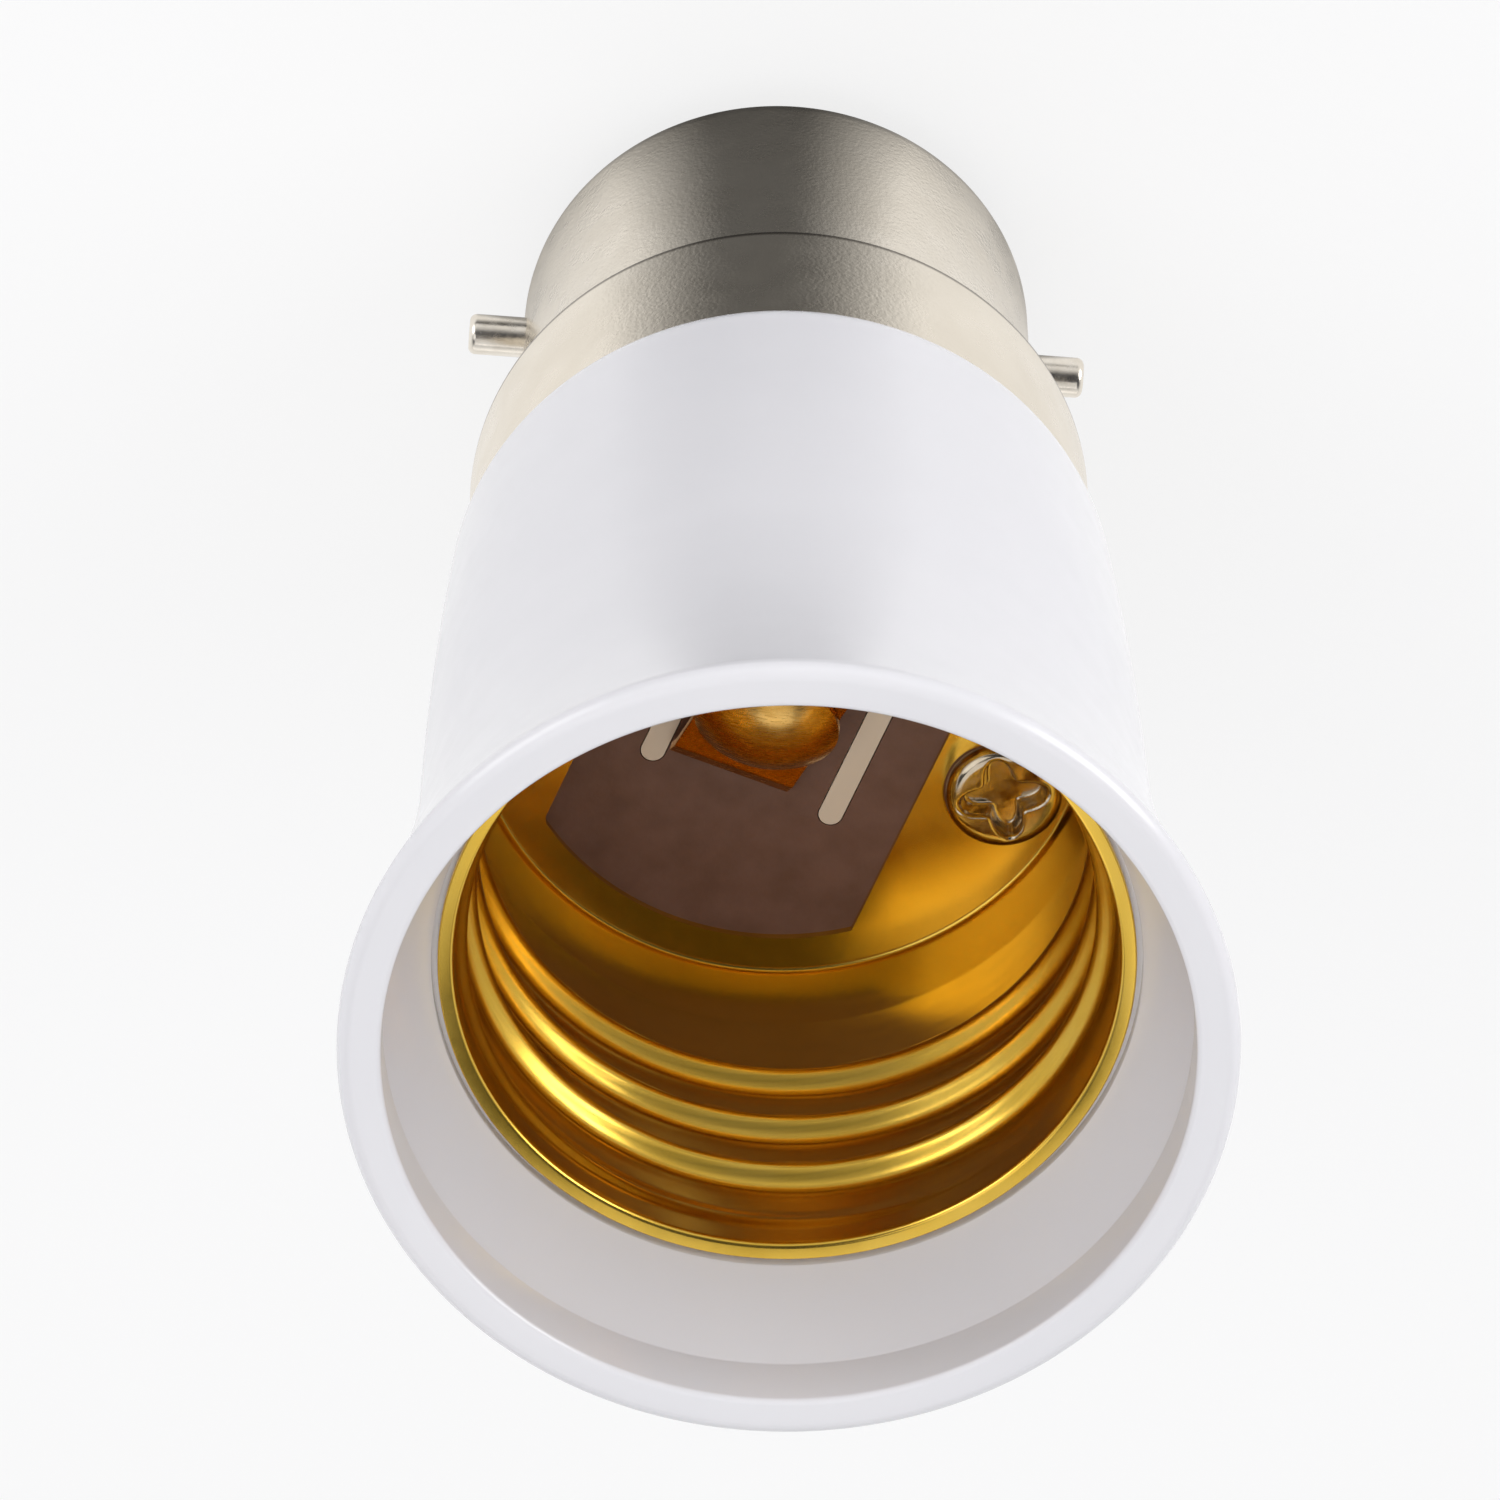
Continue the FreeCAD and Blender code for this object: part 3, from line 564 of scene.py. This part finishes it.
sleeve_section = (
    [(cavity_radius, sleeve_low.z), (neck_radius, sleeve_low.z), (neck_radius, seat)]
    + through(shoulder_foot, halfway(shoulder_foot, shoulder_top, shoulder_crown), shoulder_top, 8)
    + through(shoulder_top, halfway(shoulder_top, flare_foot, barrel_crown), flare_foot, 24)[1:]
    + through(flare_foot, halfway(flare_foot, flare_top, -flare_hollow), flare_top, 32)[1:]
    + bend((mouth_radius - rim_round, sleeve_high.z - rim_round), rim_round, 0, 90, 10)[1:]
    + bend((mouth_bore_radius + rim_inner_round, sleeve_high.z - rim_inner_round),
           rim_inner_round, 90, 180, 6)
    + bend((mouth_bore_radius - ledge_round, sleeve_high.z - mouth_bore_depth), ledge_round, 0, -20, 3)
    + bend((ledge_foot_radius + ledge_foot_round, shell_high.z), ledge_foot_round, 150, 180, 2)
    + [(ledge_foot_radius, lip_seat), (shell_clearance_radius, lip_seat),
       (shell_clearance_radius, disc_low.z), (0, disc_low.z), (0, disc_low.z - web_thickness),
       (cavity_radius, disc_low.z - web_thickness)]
)
moulded_white = finish("moulded_white", (0.80, 0.79, 0.825), 0.0, 0.2)
spread(moulded_white, noise(moulded_white, 6 * mm), 0.15, 0.25, "Roughness")
tint(moulded_white, noise(moulded_white, 9 * mm), (0.79, 0.782, 0.812), (0.81, 0.80, 0.828))
relief(moulded_white, noise(moulded_white, 5 * mm, 1.0), 0.03 * mm)
relief(moulded_white, noise(moulded_white, 0.25 * mm, 2.0), 0.001 * mm)

# Deep in the brass cup the moulding's colour is warmed within the ribs' reach: painted warm light, as
# bounced off the brass.
painted_brass_bounce = (1.0, 0.86, 0.66)
brass_bounce_reach = 10.5 * mm
white_tree = moulded_white.node_tree
level = white_tree.nodes.new("ShaderNodeVectorMath")
level.operation = "MULTIPLY"
level.inputs[1].default_value = (1, 1, 0)
white_tree.links.new(white_tree.nodes["place"].outputs["Object"], level.inputs[0])
away = white_tree.nodes.new("ShaderNodeVectorMath")
away.operation = "LENGTH"
white_tree.links.new(level.outputs["Vector"], away.inputs[0])
cast(moulded_white, combine(white_tree, "LESS_THAN", away.outputs["Value"], brass_bounce_reach), painted_brass_bounce)
sleeve = link("moulded_sleeve", turned_mesh("moulded_sleeve", sleeve_section, 256))

# Two ribs of the same moulding stand up through the disc's slots.
socket_turn = math.radians(-18)
slot_offset = 4.0 * mm
rib_length = 9.6 * mm
rib_width = 1.0 * mm
rib_root = 0.5 * mm


def rib_outline(centre_x):
    """Round-ended bar in the socket's own axes, as a closed list of plan points."""
    reach = (rib_length - rib_width) / 2
    plan = []
    for sign, first in ((1, 0), (-1, 180)):
        for i in range(17):
            angle = math.radians(first + 180 * i / 16)
            plan.append((centre_x + rib_width / 2 * math.cos(angle),
                         sign * reach + rib_width / 2 * math.sin(angle)))
    return plan


form = bmesh.new()
form.from_mesh(sleeve.data)
for side in (1, -1):
    plan = rib_outline(side * slot_offset)
    foot = [form.verts.new((x, y, disc_low.z - rib_root)) for x, y in plan]
    crown = [form.verts.new((x, y, disc_high.z)) for x, y in plan]
    turn_rib = Matrix.Rotation(socket_turn, 4, "Z")
    bmesh.ops.transform(form, matrix=turn_rib, verts=foot + crown)
    form.faces.new(crown)
    form.faces.new(list(reversed(foot)))
    for i in range(len(plan)):
        j = (i + 1) % len(plan)
        form.faces.new([foot[i], foot[j], crown[j], crown[i]])
form.to_mesh(sleeve.data)
form.free()
sleeve.data.set_sharp_from_angle(angle=math.radians(crease))
dressed(sleeve, moulded_white, "adapter", "sleeve", "sleeve")

# Contact disc: brown phenolic sheet, punched, lying on the web at the bottom
# of the socket. The sleeve's ribs show through its two slots.

phenolic = finish("phenolic", (0.175, 0.09, 0.062), 0.0, 0.4)
spread(phenolic, noise(phenolic, 0.6 * mm), 0.32, 0.5, "Roughness")
tint(phenolic, noise(phenolic, 1.5 * mm, 4.0), (0.155, 0.078, 0.052), (0.195, 0.102, 0.072))
relief(phenolic, noise(phenolic, 0.2 * mm), 0.01 * mm)
nodes["contact_disc"].data.materials.clear()
nodes["contact_disc"].data.materials.append(phenolic)

# Screw shell: thin brass cup, drawn, then rolled with a coarse right-hand
# thread. Its floor keeps two ears under the screws, and its lip turns out.

shell_sheet = 0.35 * mm
shell_bore_radius = 13.25 * mm
shell_foot_radius = 12.98 * mm
shell_foot_height = 4.0 * mm
foot_round = 0.6 * mm
lip_radius = shell_high.x
lip_round = 0.25 * mm
lip_edge = 0.06 * mm
lip_slope = 12
window_radius = 11.35 * mm
channel_width = 13.9 * mm
window_edge = 0.01 * mm
narrowest_across = 0.01
thread_ring_gap = 0.14 * mm
shell_crease = 40
foot_centre = (shell_foot_radius + shell_sheet - foot_round, shell_low.z + foot_round)
lip_run = lip_radius - shell_bore_radius - lip_round * (1 - math.sin(math.radians(lip_slope)))
lip_rise = lip_run * math.tan(math.radians(lip_slope))
lip_centre = (shell_bore_radius + lip_round,
              shell_high.z - lip_rise - lip_round * math.cos(math.radians(lip_slope)))
straight_foot = shell_low.z + shell_foot_height


def wall(first, last):
    """Evenly spaced points on a straight stretch of the shell's wall."""
    count = max(2, round(abs(last[1] - first[1]) / thread_ring_gap))
    return [(first[0] + (last[0] - first[0]) * i / count, first[1] + (last[1] - first[1]) * i / count)
            for i in range(1, count + 1)]


outer_foot = (shell_foot_radius + shell_sheet, foot_centre[1])
outer_straight = (shell_bore_radius + shell_sheet, straight_foot)
outer_lip = (shell_bore_radius + shell_sheet, shell_high.z - lip_rise - shell_sheet)
inner_lip = (shell_bore_radius, lip_centre[1])
inner_straight = (shell_bore_radius, straight_foot)
inner_foot = (shell_foot_radius, foot_centre[1])
shell_section = (
    [(window_radius, shell_low.z)]
    + bend(foot_centre, foot_round, -90, 0, 8)
    + wall(outer_foot, outer_straight)
    + wall(outer_straight, outer_lip)
    + [(lip_radius, shell_high.z - shell_sheet), (lip_radius, shell_high.z - lip_edge)]
    + [(lip_radius - lip_edge, shell_high.z)]
    + bend(lip_centre, lip_round, 90 + lip_slope, 180, 6)
    + wall(inner_lip, inner_straight)
    + wall(inner_straight, inner_foot)
    + bend(foot_centre, foot_round - shell_sheet, 0, -90, 6)[1:]
    + [(window_radius, shell_low.z + shell_sheet)]
)
drawn_cup = link("screw_cup", turned_mesh("screw_cup", shell_section, 256))


def group_input(tree, name, kind, value):
    """Add a named input to a geometry tree, with its usual value if it has one."""
    socket = tree.interface.new_socket(name, in_out="INPUT", socket_type=kind)
    if value is not None:
        socket.default_value = value
    return socket


def sum_of(tree, operation, first, second=None, third=None):
    """Math node in a geometry tree; its inputs are sockets or plain numbers."""
    node = tree.nodes.new("ShaderNodeMath")
    node.operation = operation
    for socket, value in zip(node.inputs, (first, second, third)):
        if value is None:
            continue
        if isinstance(value, (int, float)):
            socket.default_value = value
        else:
            tree.links.new(value, socket)
    return node.outputs[0]


def thread_tree():
    """Geometry tree that rolls a screw thread into a plain cup and cuts its floor's window."""
    tree = bpy.data.node_groups.new("roll_thread", "GeometryNodeTree")
    sizes = {
        "Pitch": 3.629 * mm,
        "Depth": 0.85 * mm,
        "Crest Height": 48.85 * mm,
        "Crest Turn": 0.25,
        "Thread Foot": 42.8 * mm,
        "Thread Top": 56.2 * mm,
        "Run Out": 1.9 * mm,
        "Crest Sharpness": 3.6,
        "Window Radius": window_radius,
        "Channel Width": channel_width,
        "Channel Turn": socket_turn,
    }
    group_input(tree, "Geometry", "NodeSocketGeometry", None)
    group_input(tree, "Metal", "NodeSocketMaterial", None)
    for name, value in sizes.items():
        group_input(tree, name, "NodeSocketFloat", value)
    tree.interface.new_socket("Geometry", in_out="OUTPUT", socket_type="NodeSocketGeometry")
    given = tree.nodes.new("NodeGroupInput").outputs
    result = tree.nodes.new("NodeGroupOutput").inputs[0]
    position = tree.nodes.new("GeometryNodeInputPosition").outputs[0]
    parts = tree.nodes.new("ShaderNodeSeparateXYZ")
    tree.links.new(position, parts.inputs[0])
    x, y, z = parts.outputs

    # Wave of the thread: full depth between its ends, and run out smoothly at both.
    angle = sum_of(tree, "ARCTAN2", y, x)
    turns = sum_of(tree, "MULTIPLY", angle, 1 / (2 * math.pi))
    climb = sum_of(tree, "DIVIDE", sum_of(tree, "SUBTRACT", z, given["Crest Height"]), given["Pitch"])
    phase = sum_of(tree, "SUBTRACT", climb, sum_of(tree, "SUBTRACT", turns, given["Crest Turn"]))
    wave = sum_of(tree, "COSINE", sum_of(tree, "MULTIPLY", phase, 2 * math.pi))
    inward = sum_of(tree, "POWER", sum_of(tree, "MULTIPLY_ADD", wave, 0.5, 0.5), given["Crest Sharpness"])
    fades = []
    for start, end in ((given["Thread Foot"], z), (z, given["Thread Top"])):
        run = sum_of(tree, "DIVIDE", sum_of(tree, "SUBTRACT", end, start), given["Run Out"])
        step = tree.nodes.new("ShaderNodeMapRange")
        step.interpolation_type = "SMOOTHSTEP"
        tree.links.new(run, step.inputs["Value"])
        fades.append(step.outputs["Result"])
    fade = sum_of(tree, "MULTIPLY", fades[0], fades[1])
    sink = sum_of(tree, "MULTIPLY", sum_of(tree, "MULTIPLY", inward, fade), given["Depth"])

    # Floor's edge: a straight-sided channel across the cup, closed by a circle.
    off_channel = sum_of(tree, "SUBTRACT", angle, given["Channel Turn"])
    across = sum_of(tree, "ABSOLUTE", sum_of(tree, "COSINE", off_channel))
    half_channel = sum_of(tree, "MULTIPLY", given["Channel Width"], 0.5)
    side_radius = sum_of(tree, "DIVIDE", half_channel, sum_of(tree, "MAXIMUM", across, narrowest_across))
    edge_radius = sum_of(tree, "MINIMUM", side_radius, given["Window Radius"])
    length = tree.nodes.new("ShaderNodeVectorMath")
    length.operation = "LENGTH"
    flat = tree.nodes.new("ShaderNodeCombineXYZ")
    tree.links.new(x, flat.inputs[0])
    tree.links.new(y, flat.inputs[1])
    tree.links.new(flat.outputs[0], length.inputs[0])
    radius = length.outputs["Value"]
    on_edge = sum_of(tree, "LESS_THAN", radius, sum_of(tree, "ADD", given["Window Radius"], window_edge))
    pulled_in = sum_of(tree, "SUBTRACT", given["Window Radius"], edge_radius)
    edge_shift = sum_of(tree, "MULTIPLY", on_edge, pulled_in)

    inset = sum_of(tree, "ADD", sink, edge_shift)
    scale = sum_of(tree, "DIVIDE", inset, radius)
    offset = tree.nodes.new("ShaderNodeVectorMath")
    offset.operation = "SCALE"
    tree.links.new(flat.outputs[0], offset.inputs[0])
    tree.links.new(sum_of(tree, "MULTIPLY", scale, -1.0), offset.inputs["Scale"])
    rolled = tree.nodes.new("GeometryNodeSetPosition")
    tree.links.new(given["Geometry"], rolled.inputs["Geometry"])
    tree.links.new(offset.outputs[0], rolled.inputs["Offset"])
    real = tree.nodes.new("GeometryNodeRealizeInstances")
    coated = tree.nodes.new("GeometryNodeSetMaterial")
    tree.links.new(rolled.outputs[0], real.inputs[0])
    tree.links.new(real.outputs[0], coated.inputs["Geometry"])
    tree.links.new(given["Metal"], coated.inputs["Material"])
    tree.links.new(coated.outputs[0], result)
    return tree


def settle(piece, tree, choices):
    """Run a geometry tree on a piece with the chosen inputs and keep the result as its mesh."""
    modifier = piece.modifiers.new(tree.name, "NODES")
    modifier.node_group = tree
    for item in tree.interface.items_tree:
        if item.item_type == "SOCKET" and item.in_out == "INPUT" and item.name in choices:
            modifier[item.identifier] = choices[item.name]
    bpy.context.view_layer.update()
    evaluated = piece.evaluated_get(bpy.context.evaluated_depsgraph_get())
    mesh = bpy.data.meshes.new_from_object(evaluated)
    piece.modifiers.clear()
    piece.data = mesh
    return piece


rolled_brass = finish("rolled_brass", (0.93, 0.60, 0.09), 1.0, 0.22)
spread(rolled_brass, noise(rolled_brass, 1.6 * mm, 3.0, (1, 1, 3)), 0.19, 0.25, "Roughness")
tint(rolled_brass, noise(rolled_brass, 3 * mm), (0.92, 0.585, 0.08), (0.94, 0.62, 0.105))
relief(rolled_brass, noise(rolled_brass, 3 * mm, 1.0), 0.004 * mm)
relief(rolled_brass, noise(rolled_brass, 0.2 * mm, 3.0, (1, 1, 3)), 0.0006 * mm)
settle(drawn_cup, thread_tree(), {"Metal": rolled_brass})
drawn_cup.data.set_sharp_from_angle(angle=math.radians(shell_crease))
dressed(drawn_cup, rolled_brass, "adapter", "screw_shell", "screw_shell")

# Shell screws: two nickel-plated pan heads with a soft cross recess, driven
# through the cup's ears and the disc into the sleeve's posts.

screw_circle = 9.9 * mm
screw_head_radius = 2.5 * mm
screw_head_round = 0.7 * mm
screw_core_radius = 1.2 * mm
screw_tip_radius = 0.4 * mm
screw_length = 9.0 * mm
screw_head_height = 1.35 * mm
head_ring_gap = 0.07 * mm
crown_share = 0.99
left_turn = math.radians(15)
right_turn = math.radians(62)
crown_radius = screw_head_radius - screw_head_round
crown_rings = round(crown_radius / head_ring_gap)
screw_section = (
    [(0, -screw_length), (screw_tip_radius, -screw_length),
     (screw_core_radius, screw_core_radius - screw_length), (screw_core_radius, 0),
     (screw_head_radius, 0)]
    + bend((crown_radius, screw_head_height - screw_head_round), screw_head_round, 0, 90, 8)
    + [(crown_radius * (1 - i / crown_rings), screw_head_height) for i in range(1, crown_rings)]
    + [(0, screw_head_height)]
)


def screw_tree():
    """Geometry tree that presses a four-lobed recess into a blank and sets both screws."""
    tree = bpy.data.node_groups.new("set_screws", "GeometryNodeTree")
    sizes = {
        "Head Height": screw_head_height,
        "Lobe Reach": 1.5 * mm,
        "Lobe Swing": 0.42 * mm,
        "Wall Run": 0.34 * mm,
        "Recess Depth": 0.8 * mm,
    }
    group_input(tree, "Geometry", "NodeSocketGeometry", None)
    group_input(tree, "Metal", "NodeSocketMaterial", None)
    for name, value in sizes.items():
        group_input(tree, name, "NodeSocketFloat", value)
    for name in ("Left Seat", "Right Seat"):
        group_input(tree, name, "NodeSocketVector", None)
    for name in ("Left Turn", "Right Turn"):
        group_input(tree, name, "NodeSocketFloat", 0.0)
    tree.interface.new_socket("Geometry", in_out="OUTPUT", socket_type="NodeSocketGeometry")
    given = tree.nodes.new("NodeGroupInput").outputs
    parts = tree.nodes.new("ShaderNodeSeparateXYZ")
    tree.links.new(tree.nodes.new("GeometryNodeInputPosition").outputs[0], parts.inputs[0])
    x, y, z = parts.outputs

    # Recess: its edge swings in and out four times round the head.
    squares = sum_of(tree, "MULTIPLY_ADD", y, y, sum_of(tree, "MULTIPLY", x, x))
    radius = sum_of(tree, "SQRT", squares)
    lobes = sum_of(tree, "COSINE", sum_of(tree, "MULTIPLY", sum_of(tree, "ARCTAN2", y, x), 4.0))
    edge = sum_of(tree, "MULTIPLY_ADD", lobes, given["Lobe Swing"], given["Lobe Reach"])
    inside = sum_of(tree, "DIVIDE", sum_of(tree, "SUBTRACT", edge, radius), given["Wall Run"])
    wall_step = tree.nodes.new("ShaderNodeMapRange")
    wall_step.interpolation_type = "SMOOTHSTEP"
    tree.links.new(inside, wall_step.inputs["Value"])
    on_crown = sum_of(tree, "GREATER_THAN", z, sum_of(tree, "MULTIPLY", given["Head Height"], crown_share))
    sink = sum_of(tree, "MULTIPLY", sum_of(tree, "MULTIPLY", wall_step.outputs["Result"], on_crown),
                  given["Recess Depth"])
    offset = tree.nodes.new("ShaderNodeCombineXYZ")
    tree.links.new(sum_of(tree, "MULTIPLY", sink, -1.0), offset.inputs["Z"])
    pressed = tree.nodes.new("GeometryNodeSetPosition")
    tree.links.new(given["Geometry"], pressed.inputs["Geometry"])
    tree.links.new(offset.outputs[0], pressed.inputs["Offset"])

    both = tree.nodes.new("GeometryNodeJoinGeometry")
    for side in ("Left", "Right"):
        spot = tree.nodes.new("GeometryNodePoints")
        spot.inputs["Count"].default_value = 1
        tree.links.new(given[side + " Seat"], spot.inputs["Position"])
        turn = tree.nodes.new("ShaderNodeCombineXYZ")
        tree.links.new(given[side + " Turn"], turn.inputs["Z"])
        placed = tree.nodes.new("GeometryNodeInstanceOnPoints")
        tree.links.new(spot.outputs[0], placed.inputs["Points"])
        tree.links.new(pressed.outputs[0], placed.inputs["Instance"])
        tree.links.new(turn.outputs[0], placed.inputs["Rotation"])
        tree.links.new(placed.outputs[0], both.inputs[0])
    real = tree.nodes.new("GeometryNodeRealizeInstances")
    coated = tree.nodes.new("GeometryNodeSetMaterial")
    tree.links.new(both.outputs[0], real.inputs[0])
    tree.links.new(real.outputs[0], coated.inputs["Geometry"])
    tree.links.new(given["Metal"], coated.inputs["Material"])
    tree.links.new(coated.outputs[0], tree.nodes.new("NodeGroupOutput").inputs[0])
    return tree


# The screws' nickel is darker and warmer than the pins': painted shade and a painted reflection of the
# brass cup round them.
screw_nickel_painted_reflection = finish("screw_nickel_painted_reflection", (0.66, 0.56, 0.42), 1.0, 0.14)
spread(screw_nickel_painted_reflection, noise(screw_nickel_painted_reflection, 0.5 * mm), 0.08, 0.2, "Roughness")
tint(screw_nickel_painted_reflection, noise(screw_nickel_painted_reflection, 0.9 * mm), (0.58, 0.47, 0.33), (0.72, 0.62, 0.48))
relief(screw_nickel_painted_reflection, noise(screw_nickel_painted_reflection, 0.4 * mm), 0.004 * mm)
to_socket = Matrix.Rotation(socket_turn, 4, "Z")
seats = {}
for side, word in ((-1, "left"), (1, "right")):
    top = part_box("shell_screw_" + word)[1].z
    seats[word] = to_socket @ Vector((side * screw_circle, 0, top - screw_head_height))
screws = link("shell_screws", turned_mesh("shell_screws", screw_section, 96))
settle(screws, screw_tree(), {"Metal": screw_nickel_painted_reflection, "Left Seat": seats["left"],
                              "Right Seat": seats["right"], "Left Turn": left_turn,
                              "Right Turn": right_turn})
dressed(screws, screw_nickel_painted_reflection, "adapter", "shell_screw_left", "shell_screw_left", "shell_screw_right")

# Centre contact: one strip of spring bronze, its foot riveted to the disc, its
# tongue sprung down over the middle with a turned brass button riveted on.

strip_thickness = 0.4 * mm
strip_width = 5.3 * mm
strip_offset = 0.9 * mm
strip_bend = 0.5 * mm
strip_edge = 0.07 * mm
strip_crease = 50
foot_end = 9.3 * mm
foot_bend = 5.6 * mm
tongue_root = 4.9 * mm
tongue_knee = 2.95 * mm
tongue_slope = math.radians(24)
tongue_lip = 0.7 * mm
tip_slope = math.radians(44)
tip_gap = 0.5 * mm
disc_top = disc_high.z
tip_height = disc_top + tip_gap + strip_thickness / 2 * math.cos(tip_slope)
knee_height = tip_height + tongue_lip * math.sin(tip_slope)
root_height = knee_height + (tongue_knee + tongue_root) * math.tan(tongue_slope)
strip_route = [(-foot_end, disc_top + strip_thickness / 2), (-foot_bend, disc_top + strip_thickness / 2),
               (-tongue_root, root_height), (tongue_knee, knee_height),
               (tongue_knee + tongue_lip * math.cos(tip_slope), tip_height)]


def bent(route, radius, steps=10):
    """Middle line of a bent strip: straight runs joined by arcs, with the way across it."""
    spots = [Vector(spot) for spot in route]
    line = [spots[0]]
    for before, spot, after in zip(spots, spots[1:], spots[2:]):
        back = (before - spot).normalized()
        onward = (after - spot).normalized()
        half = back.angle(onward) / 2
        centre = spot + (back + onward).normalized() * radius / math.sin(half)
        start = spot + back * radius / math.tan(half) - centre
        sweep = start.angle_signed(spot + onward * radius / math.tan(half) - centre)
        for i in range(steps + 1):
            line.append(centre + Matrix.Rotation(-sweep * i / steps, 2) @ start)
    line.append(spots[-1])
    placed = []
    for i, spot in enumerate(line):
        run = (line[min(i + 1, len(line) - 1)] - line[max(i - 1, 0)]).normalized()
        placed.append((spot, Vector((-run.y, run.x))))
    return placed


def rounded_bar(width, thickness, edge, steps=3):
    """Section of a sheet strip with deburred edges, as (across, up) pairs."""
    ring = []
    for side, rise, first in ((1, 1, 0), (-1, 1, 90), (-1, -1, 180), (1, -1, 270)):
        centre = (side * (width / 2 - edge), rise * (thickness / 2 - edge))
        ring += bend(centre, edge, first, first + 90, steps)
    return ring


form = bmesh.new()
bars = []
for spot, up in bent(strip_route, strip_bend):
    bars.append([form.verts.new((strip_offset + across, spot.x + up.x * rise, spot.y + up.y * rise))
                 for across, rise in rounded_bar(strip_width, strip_thickness, strip_edge)])
for here, there in zip(bars, bars[1:]):
    for i in range(len(here)):
        j = (i + 1) % len(here)
        form.faces.new([here[i], here[j], there[j], there[i]])
form.faces.new(bars[0])
form.faces.new(bars[-1])
bmesh.ops.recalc_face_normals(form, faces=form.faces)
strip_mesh = bpy.data.meshes.new("contact_strip")
form.to_mesh(strip_mesh)
form.free()
for face in strip_mesh.polygons:
    face.use_smooth = True
strip_mesh.set_sharp_from_angle(angle=math.radians(strip_crease))
strip_mesh.transform(to_socket)
spring_bronze = finish("spring_bronze", (0.66, 0.33, 0.075), 1.0, 0.2)
spread(spring_bronze, noise(spring_bronze, 0.5 * mm, 3.0, (1, 6, 1)), 0.16, 0.3, "Roughness")
tint(spring_bronze, noise(spring_bronze, 1.0 * mm), (0.56, 0.27, 0.055), (0.64, 0.33, 0.08))
relief(spring_bronze, noise(spring_bronze, 1.2 * mm), 0.002 * mm)
strip = link("contact_strip", strip_mesh)
strip.data.materials.append(spring_bronze)
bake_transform(strip)
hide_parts("contact_foot", "contact_leaf")

button_radius = 3.0 * mm
button_height = 1.6 * mm
button_rim = 0.35 * mm
button_edge = 0.08 * mm
button_back = 0.6 * mm
stem_radius = 0.9 * mm
stem_head_radius = 1.5 * mm
stem_head_height = 0.3 * mm
dome_rise = button_height - button_rim
dome_radius = (button_radius ** 2 + dome_rise ** 2) / (2 * dome_rise)
dome_half = math.degrees(math.asin(button_radius / dome_radius))
stem_end = -strip_thickness - stem_head_height
button_section = (
    [(0, stem_end), (stem_head_radius, stem_end), (stem_head_radius, -strip_thickness),
     (stem_radius, -strip_thickness), (stem_radius, 0), (button_radius - button_edge, 0),
     (button_radius, button_edge)]
    + bend((0, button_height - dome_radius), dome_radius, 90 - dome_half, 90, 24)
)
seat_run = (tongue_root - button_back) / math.cos(tongue_slope)
half_strip = strip_thickness / 2
seat_across = -tongue_root + seat_run * math.cos(tongue_slope) + half_strip * math.sin(tongue_slope)
seat_height = root_height - seat_run * math.sin(tongue_slope) + half_strip * math.cos(tongue_slope)
button_seat = Vector((strip_offset, seat_across, seat_height))
button_mesh = turned_mesh("domed_button", button_section, 128)
button_mesh.transform(to_socket @ Matrix.Translation(button_seat) @ Matrix.Rotation(-tongue_slope, 4, "X"))
turned_brass = finish("turned_brass", (0.78, 0.46, 0.12), 1.0, 0.25)
spread(turned_brass, noise(turned_brass, 0.5 * mm, 3.0, (1, 5, 1)), 0.18, 0.34, "Roughness")
tint(turned_brass, noise(turned_brass, 1.2 * mm, 3.0, (1, 3, 1)), (0.70, 0.38, 0.08), (0.84, 0.52, 0.16))
relief(turned_brass, noise(turned_brass, 0.12 * mm, 3.0, (1, 0.12, 1)), 0.0008 * mm)
button = link("domed_button", button_mesh)
dressed(button, turned_brass, "spring_contact", "contact_button", "contact_button")
nodes["contact_rivet"].data.materials.clear()
nodes["contact_rivet"].data.materials.append(turned_brass)

# Solder tags and wires: tinned strips under one screw and under the rivet,
# joined to the end contacts by two insulated wires inside the cap.

tinned = finish("tinned_strip", (0.66, 0.64, 0.58), 1.0, 0.32)
spread(tinned, noise(tinned, 0.5 * mm), 0.25, 0.42, "Roughness")
tint(tinned, noise(tinned, 1.0 * mm), (0.58, 0.56, 0.50), (0.72, 0.70, 0.65))
for name in ("shell_tag", "centre_tag"):
    nodes[name].data.materials.clear()
    nodes[name].data.materials.append(tinned)
for name, low_colour, high_colour in (("shell_lead", (0.02, 0.07, 0.28), (0.03, 0.09, 0.34)),
                                      ("centre_lead", (0.16, 0.055, 0.02), (0.20, 0.07, 0.03))):
    insulation = finish(name + "_insulation", low_colour, 0.0, 0.45)
    tint(insulation, noise(insulation, 1.5 * mm), low_colour, high_colour)
    spread(insulation, noise(insulation, 0.8 * mm), 0.38, 0.52, "Roughness")
    nodes[name].data.materials.clear()
    nodes[name].data.materials.append(insulation)
